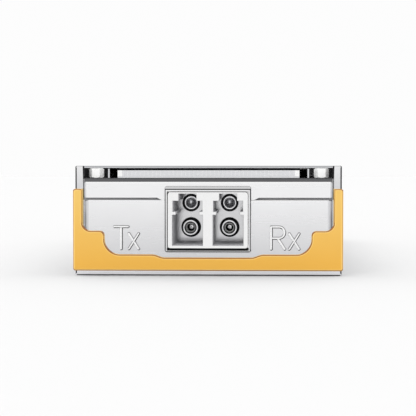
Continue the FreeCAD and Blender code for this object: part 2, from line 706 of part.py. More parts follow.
def optics_clamp():
    """Forked plate that straddles both barrels behind the receptacle."""
    half = RECEPTACLE_X - CLAMP_MARGIN
    low = RECEPTACLE_BOTTOM + CLAMP_MARGIN
    span = (RECEPTACLE_REAR_Y, CLAMP_REAR_Y)
    through = (RECEPTACLE_REAR_Y - CUT_MARGIN, CLAMP_REAR_Y + CUT_MARGIN)
    fork = BARREL_RADIUS + SEAT_FIT
    plate = block((-half, half), span, (low, RECEPTACLE_TOP - CLAMP_MARGIN))
    cuts = []
    for x in (-PORT_X, PORT_X):
        cuts.append(block((x - fork, x + fork), through, (low - CUT_MARGIN, FERRULE_Z + BARREL_RADIUS)))
        cuts.append(rod_y(x, PIN_Z, PIN_RADIUS, through))
    return plate.cut(cuts)


def clamp_pin(x):
    """Pressed pin at the back of a port, above the barrel, with a dished end."""
    outline = [
        (0, PORT_BACK_Y + PIN_DISH),
        (PIN_DISH_RADIUS, PORT_BACK_Y),
        (PIN_RADIUS, PORT_BACK_Y),
        (PIN_RADIUS, CLAMP_REAR_Y),
        (0, CLAMP_REAR_Y),
    ]
    return turned_y(x, PIN_Z, outline)


def barrel(x):
    """Metal barrel that carries the sleeve and stub, closed at its rear by the package."""
    stub_end = SLEEVE_Y + SLEEVE_LENGTH + STUB_LENGTH
    outline = [
        (BARREL_MOUTH_RADIUS, BARREL_Y),
        (BARREL_RADIUS, BARREL_Y),
        (BARREL_RADIUS, PACKAGE_Y),
        (0, PACKAGE_Y),
        (0, stub_end),
        (BARREL_MOUTH_RADIUS, stub_end),
    ]
    return turned_y(x, FERRULE_Z, outline)


def sleeve(x):
    """Ceramic sleeve that guides the plug's ferrule."""
    span = (SLEEVE_Y, SLEEVE_Y + SLEEVE_LENGTH)
    outer = rod_y(x, FERRULE_Z, SLEEVE_RADIUS, span)
    bore = rod_y(x, FERRULE_Z, SLEEVE_BORE_RADIUS, (span[0] - CUT_MARGIN, span[1] + CUT_MARGIN))
    return outer.cut(bore)


def stub(x):
    """Fibre stub that the sleeve butts on, seated in the barrel."""
    front = SLEEVE_Y + SLEEVE_LENGTH
    return rod_y(x, FERRULE_Z, BARREL_MOUTH_RADIUS - SEAT_FIT, (front, front + STUB_LENGTH))


def optics_package(x):
    """Sealed box of the light source or detector, with a stepped lid."""
    half = PACKAGE_WIDTH / 2
    base = block(
        (x - half, x + half),
        (PACKAGE_Y, PACKAGE_REAR_Y),
        (FERRULE_Z - PACKAGE_HEIGHT / 2, PACKAGE_TOP - LID_HEIGHT),
    )
    cap = block(
        (x - half + LID_INSET, x + half - LID_INSET),
        (PACKAGE_Y + LID_INSET, PACKAGE_REAR_Y - LID_INSET),
        (PACKAGE_TOP - LID_HEIGHT, PACKAGE_TOP),
    )
    return base.fuse(cap)


def flexible_lead(x):
    """Flexible circuit that steps down from a package to the board."""
    half = LEAD_WIDTH / 2
    start_z = FERRULE_Z
    drop_y = PACKAGE_REAR_Y + (LEAD_LENGTH - LEAD_LANDING) / 2
    landing_end = PACKAGE_REAR_Y + LEAD_LENGTH
    t = LEAD_THICKNESS
    points = [
        (PACKAGE_REAR_Y, start_z),
        (drop_y, start_z),
        (BOARD_Y, BOARD_TOP),
        (landing_end, BOARD_TOP),
        (landing_end, BOARD_TOP + t),
        (BOARD_Y + t / 2, BOARD_TOP + t),
        (drop_y + t / 2, start_z + t),
        (PACKAGE_REAR_Y, start_z + t),
    ]
    corners = [Vector(x - half, y, z) for y, z in points]
    face = Part.Face(Part.makePolygon(corners + corners[:1]))
    return face.extrude(Vector(LEAD_WIDTH, 0, 0))


def optics_pad():
    """Soft thermal pad between both packages and the upper shell."""
    half = PORT_X + PACKAGE_WIDTH / 2
    return block((-half, half), (PACKAGE_Y, PACKAGE_REAR_Y), (PACKAGE_TOP, PACKAGE_TOP + OPTICS_PAD))


def main_board():
    """Printed board, trapped between the shells at its corners and plugged in at the rear."""
    return block((-BOARD_X, BOARD_X), (BOARD_Y, BOARD_REAR_Y), (BOARD_HEIGHT, BOARD_TOP))


def on_board(x, y, length, width, height):
    """Board part centred at a place, length along X."""
    return block(
        (x - length / 2, x + length / 2), (y - width / 2, y + width / 2), (BOARD_TOP, BOARD_TOP + height)
    )


def part_row_y():
    """Middle of the row of small parts behind the processor."""
    return PROCESSOR_Y + PROCESSOR_SIDE / 2 + PART_ROW_GAP + CONTROLLER_SIDE / 2


def processor():
    """Signal processor package."""
    return on_board(0, PROCESSOR_Y, PROCESSOR_SIDE, PROCESSOR_SIDE, PROCESSOR_THICKNESS)


def processor_pad():
    """Thermal pad between the processor and the upper shell's pedestal."""
    half = PROCESSOR_SIDE / 2
    return block(
        (-half, half),
        (PROCESSOR_Y - half, PROCESSOR_Y + half),
        (PROCESSOR_TOP, PROCESSOR_TOP + PROCESSOR_PAD),
    )


def controller_x():
    """Middle of the controller, in line with the processor's right-hand edge."""
    return PROCESSOR_SIDE / 2 - CONTROLLER_SIDE / 2


def controller():
    """Housekeeping controller package."""
    return on_board(controller_x(), part_row_y(), CONTROLLER_SIDE, CONTROLLER_SIDE, CONTROLLER_THICKNESS)


def inductors():
    """Power inductors in a row to the left of the controller."""
    pitch = INDUCTOR_SIDE + PART_ROW_GAP / 2
    nearest = controller_x() - (CONTROLLER_SIDE + PART_ROW_GAP + INDUCTOR_SIDE) / 2
    places = [nearest - pitch * step for step in range(INDUCTORS)]
    return [on_board(x, part_row_y(), INDUCTOR_SIDE, INDUCTOR_SIDE, INDUCTOR_HEIGHT) for x in places]


def capacitors():
    """Supply capacitors along the front edge of the processor."""
    y = PROCESSOR_Y - PROCESSOR_SIDE / 2 - PART_ROW_GAP / 2
    first = -(CAPACITORS - 1) * CAPACITOR_PITCH / 2
    places = [first + CAPACITOR_PITCH * step for step in range(CAPACITORS)]
    return [on_board(x, y, CAPACITOR_LENGTH, CAPACITOR_WIDTH, CAPACITOR_HEIGHT) for x in places]


def oscillator():
    """Clock oscillator can beside the processor."""
    x = PROCESSOR_SIDE / 2 + PART_ROW_GAP / 2 + OSCILLATOR_WIDTH / 2
    return on_board(x, PROCESSOR_Y, OSCILLATOR_WIDTH, OSCILLATOR_LENGTH, OSCILLATOR_HEIGHT)


def tongue_span():
    """Where the plug's contact tongue starts and ends along Y."""
    return (PLUG_REAR_Y - PLUG_MOUTH_DEPTH, PLUG_REAR_Y - TONGUE_SETBACK)


def rear_plug():
    """Moulded plug body with an open mouth and a contact tongue in it."""
    rise = PLUG_HEIGHT / 2
    body = block((-PLUG_X, PLUG_X), (PLUG_Y, PLUG_REAR_Y), (PLUG_Z - rise, PLUG_Z + rise))
    rise = PLUG_MOUTH_HEIGHT / 2
    mouth_span = (PLUG_REAR_Y - PLUG_MOUTH_DEPTH, REAR_Y + CUT_MARGIN)
    mouth = block((-MOUTH_X, MOUTH_X), mouth_span, (PLUG_Z - rise, PLUG_Z + rise))
    rise = TONGUE_THICKNESS / 2
    start, end = tongue_span()
    tongue = block((-TONGUE_X, TONGUE_X), (start - CUT_MARGIN, end), (PLUG_Z - rise, PLUG_Z + rise))
    half = BOARD_X + SEAT_FIT
    slot_span = (PLUG_Y - CUT_MARGIN, BOARD_REAR_Y)
    slot = block((-half, half), slot_span, (BOARD_HEIGHT - SEAT_FIT, BOARD_TOP + SEAT_FIT))
    return body.cut([mouth, slot]).fuse(tongue).removeSplitter()


def contact_row(low):
    """Row of gold contacts whose lowest level is given."""
    count = round(2 * (TONGUE_X - CONTACT_MARGIN) / CONTACT_PITCH)
    first = -(count - 1) * CONTACT_PITCH / 2
    end = tongue_span()[1] - CONTACT_PITCH / 2
    row = []
    for index in range(count):
        x = first + index * CONTACT_PITCH
        across = (x - CONTACT_WIDTH / 2, x + CONTACT_WIDTH / 2)
        row.append(block(across, (end - CONTACT_LENGTH, end), (low, low + CONTACT_THICKNESS)))
    return row


def pull_handle():
    """U-shaped handle: front plate with a waved inner edge and a root for each latch arm."""
    sill_x = HANDLE_ARM_X - HANDLE_SHOULDER_INSET
    right = [
        (HANDLE_X - HANDLE_CORNER_CHAMFER, HANDLE_LIFT, 0),
        (HANDLE_X, HANDLE_LIFT + HANDLE_CORNER_CHAMFER, 0),
        (HANDLE_X, HANDLE_TOP - HANDLE_CORNER_CHAMFER, 0),
        (HANDLE_X - HANDLE_CORNER_CHAMFER, HANDLE_TOP, 0),
        (HANDLE_ARM_X, HANDLE_TOP, 0),
        (HANDLE_ARM_X, HANDLE_SHOULDER_Z, HANDLE_ARMPIT_RADIUS),
        (sill_x, HANDLE_SHOULDER_Z, HANDLE_SHOULDER_RADIUS),
        (sill_x, HANDLE_SILL_Z, HANDLE_SWEEP_RADIUS),
        (HANDLE_SILL_X, HANDLE_SILL_Z, HANDLE_WAVE_RADIUS),
        (HANDLE_DIP_X, HANDLE_DIP_Z, HANDLE_WAVE_RADIUS),
    ]
    left = [(-x, z, radius) for x, z, radius in reversed(right)]
    plate = rounded_prism(right + left, (FRONT_Y, FRONT_Y + HANDLE_PLATE))
    front = [e for e in plate.Edges if close(e.BoundBox.YMin, FRONT_Y) and close(e.BoundBox.YMax, FRONT_Y)]
    plate = plate.makeChamfer(HANDLE_EDGE_CHAMFER, front)
    overlap = HANDLE_PLATE / 2
    root = block(
        (HANDLE_ARM_X, HANDLE_X),
        (FRONT_Y + overlap, HANDLE_REAR_Y),
        (HANDLE_LIFT, HANDLE_TOP),
    )
    outer = edges_along(root, Vector(0, 1, 0), lambda p: close(p.x, HANDLE_X))
    root = root.makeChamfer(HANDLE_CORNER_CHAMFER, outer)
    half = ARM_HEIGHT / 2 + SEAT_FIT
    slot = block(
        (ARM_INNER_X - SEAT_FIT, ARM_OUTER_X + SEAT_FIT),
        (ARM_FRONT_Y, HANDLE_REAR_Y + CUT_MARGIN),
        (ARM_CENTRE - half, ARM_CENTRE + half),
    )
    return plate.fuse(both_sides(root)).cut(both_sides(slot)).removeSplitter()


def latch_arm():
    """Right-hand sheet steel arm, with a cam at its end and a tab for the spring."""
    half = ARM_HEIGHT / 2
    strip = block(
        (ARM_INNER_X, ARM_OUTER_X), (ARM_FRONT_Y, ARM_REAR_Y), (ARM_CENTRE - half, ARM_CENTRE + half)
    )
    cam_start = ARM_REAR_Y - CAM_LENGTH
    outline = [
        (ARM_OUTER_X, cam_start),
        (ARM_OUTER_X + CAM_RISE, cam_start + CAM_RAMP),
        (ARM_OUTER_X + CAM_RISE, ARM_REAR_Y - CAM_RAMP / 2),
        (ARM_OUTER_X, ARM_REAR_Y),
    ]
    corners = [Vector(x, y, ARM_CENTRE - CAM_HEIGHT / 2) for x, y in outline]
    cam = Part.Face(Part.makePolygon(corners + corners[:1])).extrude(Vector(0, 0, CAM_HEIGHT))
    tab_half = SPRING_POCKET_HEIGHT / 2 - SLIDE_FIT
    tab = block(
        (POCKET_X + SLIDE_FIT, ARM_INNER_X + ARM_THICKNESS / 2),
        (TAB_Y, TAB_Y + TAB_THICKNESS),
        (ARM_CENTRE - tab_half, ARM_CENTRE + tab_half),
    )
    return strip.fuse([cam, tab]).removeSplitter()


def return_spring():
    """Right-hand coil spring of square wire, in short straight steps, that draws the handle back in."""
    half = SPRING_WIRE / 2
    steps = SPRING_TURNS * SPRING_STEPS_PER_TURN
    pitch = (SPRING_LENGTH - SPRING_WIRE) / steps
    path = []
    for step in range(steps + 1):
        turn = 2 * math.pi * step / SPRING_STEPS_PER_TURN
        across = SPRING_X + SPRING_RADIUS * math.cos(turn)
        up = ARM_CENTRE + SPRING_RADIUS * math.sin(turn)
        path.append(Vector(across, SPRING_Y + half + pitch * step, up))
    section = [(-half, -half), (half, -half), (half, half), (-half, half), (-half, -half)]
    profile = Part.makePolygon([path[0] + Vector(across, along, 0) for across, along in section])
    return Part.makePolygon(path).makePipeShell([profile], True, False, 1)


def module_pieces():
    """Every piece of the module by name."""
    arm = latch_arm()
    spring = return_spring()
    guide = guide_strip(0)
    tongue_rise = TONGUE_THICKNESS / 2
    pieces = {
        "lower_housing": lower_shell(),
        "upper_housing": upper_shell(),
        "heat_sink": heat_sink(),
        "fin_cover": fin_cover(),
        "cover_standoffs": [standoff(x, y) for x, y in standoff_places()],
        "air_guide_left": mirrored(guide),
        "air_guide_right": guide,
        "shell_gaskets": shell_gasket_grooves(0),
        "lc_receptacle": receptacle(),
        "receptacle_gasket": receptacle_gasket(),
        "optics_clamp": optics_clamp(),
        "clamp_pins": [clamp_pin(-PORT_X), clamp_pin(PORT_X)],
        "optics_pad": optics_pad(),
        "main_board": main_board(),
        "processor_chip": processor(),
        "processor_pad": processor_pad(),
        "controller_chip": controller(),
        "power_inductors": inductors(),
        "supply_capacitors": capacitors(),
        "clock_oscillator": oscillator(),
        "rear_plug": rear_plug(),
        "upper_contacts": contact_row(PLUG_Z + tongue_rise),
        "lower_contacts": contact_row(PLUG_Z - tongue_rise - CONTACT_THICKNESS),
        "pull_handle": pull_handle(),
        "latch_arm_left": mirrored(arm),
        "latch_arm_right": arm,
        "return_spring_left": mirrored(spring),
        "return_spring_right": spring,
    }
    for name, x in (("transmit", -PORT_X), ("receive", PORT_X)):
        pieces[name + "_barrel"] = barrel(x)
        pieces[name + "_sleeve"] = sleeve(x)
        pieces[name + "_stub"] = stub(x)
        pieces[name + "_optics"] = optics_package(x)
        pieces[name + "_lead"] = flexible_lead(x)
    return pieces


def main():
    os.makedirs("parts", exist_ok=True)
    for name, piece in module_pieces().items():
        shape = Part.makeCompound(piece) if isinstance(piece, list) else piece
        shape.exportStep(os.path.join("parts", name + ".step"))


main()
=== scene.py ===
"""Dressed model of a pluggable optical transceiver module with a sliding pull handle."""
import logging
import math
from dataclasses import dataclass
from enum import Enum
from typing import Callable, Sequence

import bmesh
import bpy
from bmesh.types import BMEdge, BMesh, BMFace, BMVert
from bpy.types import Material, Node, NodeSocket, NodeTree, Object
from mathutils import Matrix, Vector


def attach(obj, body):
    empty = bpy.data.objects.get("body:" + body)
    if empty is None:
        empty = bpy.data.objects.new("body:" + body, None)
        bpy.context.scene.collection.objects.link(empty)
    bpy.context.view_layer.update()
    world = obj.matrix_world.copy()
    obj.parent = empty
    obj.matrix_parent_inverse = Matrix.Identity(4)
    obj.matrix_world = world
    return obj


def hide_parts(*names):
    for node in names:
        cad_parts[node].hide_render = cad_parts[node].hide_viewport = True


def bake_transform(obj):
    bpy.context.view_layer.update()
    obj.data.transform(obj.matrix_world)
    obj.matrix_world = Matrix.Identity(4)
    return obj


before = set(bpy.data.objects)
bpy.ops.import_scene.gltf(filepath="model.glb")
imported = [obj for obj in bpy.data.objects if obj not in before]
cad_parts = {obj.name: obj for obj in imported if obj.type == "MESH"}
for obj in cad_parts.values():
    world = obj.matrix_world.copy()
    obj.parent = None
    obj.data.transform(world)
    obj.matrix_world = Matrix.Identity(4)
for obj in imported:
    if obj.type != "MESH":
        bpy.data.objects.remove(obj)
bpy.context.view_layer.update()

LOG = logging.getLogger("module")
HOUSING = "housing"
PULLER = "puller"
# Metres in a millimetre, and the metres within which two points are one.
MM = 0.001
SAME_PLACE = 1e-7
# Millimetres within which a point is on a plane.
CLOSE = 0.01
# Degrees up to which faces count as one, from which an edge is sharp, and from which it is nearly square.
FLAT = 1.0
SHARP = 40.0
SQUARE = 60.0
# Part of a unit normal from which a face looks straight along an axis, and from which it leans that way.
STRAIGHT = 0.99
TURNED = 0.1
# Steps in an eased edge and in a full turn on the lathe.
EASE_STEPS = 3
LATHE_STEPS = 72
# Inner corners behind this Y, in millimetres, aren't eased.
FILLETS_END_Y = -51.6
# Settings of the noise that makes the grain, and the stretch of it that runs over a finish's roughness.
GRAIN_NOISE = {"Detail": 3.0, "Roughness": 0.6}
GRAIN_SPAN = (0.3, 0.7)
# Settings of the noise that mixes a finish's two tones.
TONE_NOISE = {"Detail": 2.0}
# Part of a unit normal at which a painted highlight starts, and the roughness of a clear coat.
HIGHLIGHT_START = 0.9999
COAT_ROUGHNESS = 0.2
# Numbers of a mix node's two colour inputs and of its colour output.
MIX_FIRST = 6
MIX_SECOND = 7
MIX_RESULT = 2

EdgeTest = Callable[[Vector], bool]
FaceTest = Callable[[Vector, Vector], bool]
Outline = Sequence[tuple[float, float]]


def linear(hex_colour: str) -> tuple[float, float, float, float]:
    """Turns an sRGB hex colour into linear light.

    Args:
        hex_colour: Six hex digits, two for each channel.

    Returns:
        Linear red, green and blue, and an alpha of 1.
    """
    channels = [int(hex_colour[start:start + 2], 16) / 255 for start in (0, 2, 4)]
    lit = [c / 12.92 if c <= 0.04045 else ((c + 0.055) / 1.055) ** 2.4 for c in channels]
    return (lit[0], lit[1], lit[2], 1.0)


def add_node(
    tree: NodeTree, kind: str, values: dict | None = None, links: dict | None = None, **settings: object
) -> Node:
    """Adds one node to a tree.

    Args:
        tree: Node tree that takes the node.
        kind: Blender's name for the kind of node.
        values: Values of unlinked sockets, by socket name or number.
        links: Output sockets that feed its inputs, by socket name or number.
        **settings: Properties of the node itself.

    Returns:
        The new node.
    """
    node = tree.nodes.new(kind)
    for name, value in settings.items():
        setattr(node, name, value)
    for socket, value in (values or {}).items():
        node.inputs[socket].default_value = value
    for socket, source in (links or {}).items():
        tree.links.new(source, node.inputs[socket])
    return node


def greater(tree: NodeTree, first: NodeSocket, second: NodeSocket) -> NodeSocket:
    """The greater of two values."""
    return add_node(tree, "ShaderNodeMath", links={0: first, 1: second}, operation="MAXIMUM").outputs[0]


class Grain(Enum):
    """Which way a surface was worked, as the stretch of its pattern along X, Y and Z."""

    BLASTED = (1.0, 1.0, 1.0)
    ACROSS = (0.02, 1.0, 1.0)
    LENGTHWISE = (1.0, 0.01, 1.0)
    TURNED = (0.1, 1.0, 0.1)


@dataclass(frozen=True)
class Finish:
    """A surface finish: two close tones, a worked grain that roughens it, a fine relief and painted shade on
    its edges.

    The edge tone is painted shade: it starts where a face looks less squarely along an axis than flat, and is
    full at rounded. The highlight tone is a painted highlight, a lighter line just before the edge tone. The
    low tone is painted shade towards the bottom, reached at the lower fade height.
    """

    title: str
    light: str
    dark: str
    roughness: tuple[float, float] = (0.5, 0.6)
    grain: Grain = Grain.BLASTED
    grain_mm: float = 0.3
    relief_mm: float = 0.001
    tone_mm: float = 4.0
    # Tone of the painted shade on rounded edges.
    edge: str = ""
    flat: float = 0.985
    rounded: float = 0.78
    # Tone of a painted highlight beside that painted shade.
    highlight_tone: str = ""
    along_ports: bool = False
    # Tone of painted shade towards the bottom, and the heights over which it comes in.
    low: str = ""
    shade_heights_mm: tuple[float, float] = (12.0, 2.0)

    def material(self) -> Material:
        """The finish's material, made the first time it is asked for."""
        return bpy.data.materials.get(self.title) or self.make()

    def make(self) -> Material:
        """Builds the node tree.

        Returns:
            The new material.
        """
        material = bpy.data.materials.new(self.title)
        material.use_nodes = True
        tree = material.node_tree
        shader = tree.nodes["Principled BSDF"]
        place = add_node(tree, "ShaderNodeTexCoord").outputs["Object"]
        turned = add_node(tree, "ShaderNodeMapping", {"Scale": self.grain.value}, {"Vector": place})
        noise = "ShaderNodeTexNoise"
        fine = {"Scale": 1 / (self.grain_mm * MM), **GRAIN_NOISE}
        grain = add_node(tree, noise, fine, {"Vector": turned.outputs["Vector"]}).outputs["Fac"]
        broad = {"Scale": 1 / (self.tone_mm * MM), **TONE_NOISE}
        tones = add_node(tree, noise, broad, {"Vector": place}).outputs["Fac"]
        pair = {MIX_FIRST: linear(self.light), MIX_SECOND: linear(self.dark)}
        colour = add_node(tree, "ShaderNodeMix", pair, {"Factor": tones}, data_type="RGBA")
        low, high = self.roughness
        span = {"From Min": GRAIN_SPAN[0], "From Max": GRAIN_SPAN[1], "To Min": low, "To Max": high}
        rough = add_node(tree, "ShaderNodeMapRange", span, {"Value": grain})
        relief = {"Strength": 1.0, "Distance": self.relief_mm * MM}
        bump = add_node(tree, "ShaderNodeBump", relief, {"Height": grain})
        # Painted shade darkens the colour towards the bottom and on rounded edges, with a painted highlight
        # beside them.
        pattern = self.tint(tree, place, self.shade_downward(tree, place, colour.outputs[MIX_RESULT]))
        tree.links.new(self.shade_edges(tree, pattern), shader.inputs["Base Color"])
        tree.links.new(rough.outputs["Result"], shader.inputs["Roughness"])
        tree.links.new(bump.outputs["Normal"], shader.inputs["Normal"])
        self.set_body(shader)
        return material

    def tint(self, tree: NodeTree, place: NodeSocket, colour: NodeSocket) -> NodeSocket:
        """The colour after any pattern of this finish, which here is none."""
        return colour

    def shade_downward(self, tree: NodeTree, place: NodeSocket, colour: NodeSocket) -> NodeSocket:
        """Paints shade: turns the colour to the low tone on the way down.

        Args:
            tree: Node tree of the material.
            place: Object coordinates.
            colour: Colour at the top.

        Returns:
            The colour with its painted shade.
        """
        if not self.low:
            return colour
        height = add_node(tree, "ShaderNodeSeparateXYZ", links={0: place}).outputs["Z"]
        return self.blend(tree, colour, self.low, height, (self.shade_heights_mm[0] * MM, self.shade_heights_mm[1] * MM))

    def blend(
        self, tree: NodeTree, colour: NodeSocket, tone: str, value: NodeSocket, span: tuple[float, float]
    ) -> NodeSocket:
        """Turns a colour to a tone while a value runs over a span.

        Args:
            tree: Node tree of the material.
            colour: Colour at the span's start.
            tone: Hex colour at the span's end.
            value: What runs over the span.
            span: Its start and end.

        Returns:
            The blended colour.
        """
        ends = {"From Min": span[0], "From Max": span[1]}
        share = add_node(tree, "ShaderNodeMapRange", ends, {"Value": value}).outputs["Result"]
        links = {"Factor": share, MIX_FIRST: colour}
        mix = add_node(tree, "ShaderNodeMix", {MIX_SECOND: linear(tone)}, links, data_type="RGBA")
        return mix.outputs[MIX_RESULT]

    def shade_edges(self, tree: NodeTree, colour: NodeSocket) -> NodeSocket:
        """Paints shade: turns the colour to the edge tone where the surface rounds over, after any painted
        highlight.

        Args:
            tree: Node tree of the material.
            colour: Colour of the flat faces.

        Returns:
            The colour with painted shade on its edges.
        """
        if not self.edge:
            return colour
        way = add_node(tree, "ShaderNodeTexCoord").outputs["Normal"]
        size = add_node(tree, "ShaderNodeVectorMath", links={0: way}, operation="ABSOLUTE")
        parts = add_node(tree, "ShaderNodeSeparateXYZ", links={0: size.outputs["Vector"]})
        facing = self.facing(tree, parts)
        if self.highlight_tone:
            colour = self.blend(tree, colour, self.highlight_tone, facing, (HIGHLIGHT_START, self.flat))
        return self.blend(tree, colour, self.edge, facing, (self.flat, self.rounded))

    def facing(self, tree: NodeTree, parts: Node) -> NodeSocket:
        """Measures how squarely the surface looks along the ports, or along any one axis.

        Args:
            tree: Node tree of the material.
            parts: Node that gives the normal's size along X, Y and Z.

        Returns:
            A socket that is 1 on flat faces and less on rounded edges.
        """
        if self.along_ports:
            return parts.outputs["Y"]
        return greater(tree, greater(tree, parts.outputs["X"], parts.outputs["Y"]), parts.outputs["Z"])

    def set_body(self, shader: Node) -> None:
        """Sets what the stuff itself is, which here is the shader's own default."""


@dataclass(frozen=True)
class MetalFinish(Finish):
    """A bare or plated metal."""

    def set_body(self, shader: Node) -> None:
        """Makes the shader a metal."""
        shader.inputs["Metallic"].default_value = 1.0


@dataclass(frozen=True)
class MouldedFinish(Finish):
    """A moulded, fired or cured material with a clear gloss of its own."""

    index: float = 1.5
    coat: float = 0.0

    def set_body(self, shader: Node) -> None:
        """Sets the gloss of the material and of a coat on it.

        Args:
            shader: Main shader of the material.
        """
        shader.inputs["IOR"].default_value = self.index
        shader.inputs["Coat Weight"].default_value = self.coat
        shader.inputs["Coat Roughness"].default_value = COAT_ROUGHNESS


@dataclass(frozen=True)
class BoardFinish(MouldedFinish):
    """Solder mask over copper, in which tracks show as paler lines."""

    track: str = "2F7A55"
    cell_mm: float = 4.0
    row: float = 0.25
    run: float = 3.0
    line: float = 0.04

    def tint(self, tree: NodeTree, place: NodeSocket, colour: NodeSocket) -> NodeSocket:
        """Lays rows of tracks over the mask.

        Args:
            tree: Node tree of the material.
            place: Object coordinates.
            colour: Colour of the mask.

        Returns:
            The mask's colour with tracks in it.
        """
        rows = {
            "Scale": 1 / (self.cell_mm * MM),
            "Mortar Size": self.line,
            "Brick Width": self.run,
            "Row Height": self.row,
            "Mortar": linear(self.track),
        }
        mask = {"Vector": place, "Color1": colour, "Color2": colour}
        return add_node(tree, "ShaderNodeTexBrick", rows, mask).outputs["Color"]


class Finishes:
    """Every finish on the module, named for its material and how it was made, or for the light and shade
    painted in it.
    """

    # Satin nickel plate on a zinc casting: pale and even, with faint streaks, painted shade on its rounded
    # edges and painted shade that darkens it towards the bottom.
    # The streaks are drawn a few times wider than real ones, which would be too fine to show.
    CASTING = MetalFinish(
        "nickel_plated_zinc_satin", "F3F3F4", "EFEFF0", (0.26, 0.32), Grain.ACROSS, 0.4, 0.0004,
        edge="646466", low="D2D2D4",
    )
    # The same plate on the front of the side rails, with painted shade: greyer, paler towards the top, and
    # darker on rounded edges.
    RAIL = MetalFinish(
        "nickel_plated_zinc_rail", "EBEBEC", "E8E8E9", (0.26, 0.32), Grain.ACROSS, 0.4, 0.0004,
        edge="646466", low="D4D4D6", shade_heights_mm=(16.8, 13.0),
    )
    # The same plate on the floor's front edge, close over the ground, painted a little greyer as shade.
    LIP = MetalFinish("nickel_plated_zinc_lip", "EAEAEC", "E6E6E8", (0.26, 0.32), Grain.ACROSS, 0.4, 0.0004)
    # The same plate with a painted highlight, on some edges and on the lit faces of the marks.
    HIGHLIGHT_CASTING = MetalFinish(
        "nickel_plated_zinc_painted_highlight", "FBFBFB", "F6F6F6", (0.2, 0.26), Grain.ACROSS, 0.4, 0.0004
    )
    # Painted shade on the rounded sides of the nose: dull grey, darker the further they turn away.
    NOSE_SIDE = MouldedFinish(
        "nose_side_painted_shade", "D2D2D4", "CCCCCE", edge="5A5A5C", flat=1.0, rounded=0.3, along_ports=True
    )
    # Painted shade in the seam's groove: grey and dull.
    GROOVE = MouldedFinish("seam_groove_painted_shade", "B4B4B6", "AEAEB0", relief_mm=0.002)
    # Painted shade along some edges, so that they show as dark lines.
    DARK_LINE = MouldedFinish("dark_line_painted_shade", "303032", "2A2A2C", index=1.2)
    # Painted shade on the upper sides of the marks: an even, dull grey.
    GREY_LINE = MouldedFinish("grey_line_painted_shade", "8E8E90", "868688")
    # The walls of the ports, blasted and dull.
    PORT_WALL = MouldedFinish("zinc_blasted_port", "DEDEE0", "D6D6D8")
    # The seats at the back of the ports: plated, and painted greyer than the front as shade.
    PORT_SEAT = MetalFinish("nickel_plated_zinc_seat", "D4D4D5", "CECED0", (0.1, 0.16), relief_mm=0.0004)
    # Skived aluminium fins: pale, with fine tool lines along their length.
    FINS = MetalFinish("aluminium_skived", "E2E2E4", "DBDCDF", (0.25, 0.38), Grain.LENGTHWISE, 0.2)
    # Painted highlight on the walls at the ends of the fin pack and on the strips between fins: a brighter
    # copy of the fin metal.
    FIN_WALL = MetalFinish("aluminium_fin_painted_highlight", "FCFCFC", "F8F8F8", (0.2, 0.3), Grain.LENGTHWISE, 0.2)
    # Rolled aluminium sheet with a brushed grain along the module, with painted shade where its edges round
    # over.
    COVER = MetalFinish(
        "aluminium_sheet_brushed", "E2E3E5", "D6D7DA", (0.24, 0.4), Grain.LENGTHWISE, relief_mm=0.002,
        edge="404042",
    )
    # Painted shade on the same sheet, on the upper half of its rounded front edge.
    COVER_EDGE = MetalFinish(
        "aluminium_sheet_edge_painted_shade", "AEAFB1", "A4A5A8", (0.24, 0.4), Grain.ACROSS, relief_mm=0.002
    )
    # Painted shadow on the cover's band above the fins: dark and dull.
    COVER_SHADOW = MouldedFinish("cover_band_painted_shadow", "0E0E10", "0A0A0C", grain_mm=0.2, relief_mm=0.002, index=1.05)
    # Bright machined stainless steel: near mirror, ringed by lathe lines.
    TURNED_STEEL = MetalFinish(
        "stainless_steel_turned", "F4F4F5", "E8E8EA", (0.12, 0.22), Grain.TURNED, 0.12, 0.0005
    )
    # Dished steel: it gathers the dark of the port's walls, with a small highlight in its middle.
    DISHED_STEEL = MetalFinish(
        "stainless_steel_dished", "D8D9DB", "CCCDCF", (0.14, 0.2), Grain.TURNED, 0.12, 0.0005
    )
    # Painted shade in the barrels' bores and the stubs' grooves: dark steel.
    BORE = MetalFinish("bore_painted_shade", "3E3E40", "343436", (0.35, 0.5), Grain.TURNED, 0.12)
    # Cold-rolled spring strip: bright, with drawn lines along the arm.
    STRIP_STEEL = MetalFinish(
        "stainless_strip_rolled", "D9DADC", "C9CACD", (0.2, 0.34), Grain.LENGTHWISE, 0.2
    )
    # Nickel-plated zinc of the receptacle: ground bright at the front, with painted shade on rims that turn
    # away from the ports' axis.
    RECEPTACLE = MetalFinish(
        "nickel_plated_zinc_fine", "F4F4F4", "F0F0F0", (0.12, 0.18), relief_mm=0.0004,
        edge="6E6E70", flat=0.97, rounded=0.5, along_ports=True,
    )
    # Music wire: dark, oil-drawn steel.
    SPRING = MetalFinish("music_wire_drawn", "8E9094", "74767A", (0.25, 0.4), grain_mm=0.1)
    # Hard gold over nickel on contacts and package walls.
    GOLD = MetalFinish("hard_gold_plate", "E9C46F", "DDB25A", (0.18, 0.3), Grain.LENGTHWISE, 0.2)
    # Lidded tin-plated can.
    CAN = MetalFinish("tin_plated_can", "D2D3D4", "C2C3C5", (0.25, 0.4), relief_mm=0.002)
    # Powder-coated handle: an even warm yellow, with the faint orange peel of the coat, painted shade on its
    # rounded edges with a painted highlight beside them, and painted shade that darkens it towards the
    # bottom.
    HANDLE = MouldedFinish(
        "yellow_powder_coat", "E8BF64", "E6BB5E", (0.4, 0.5), grain_mm=0.5, relief_mm=0.002,
        edge="9C5E16", flat=0.96, rounded=0.86, highlight_tone="F7D583", low="E5AD40", coat=0.1,
    )
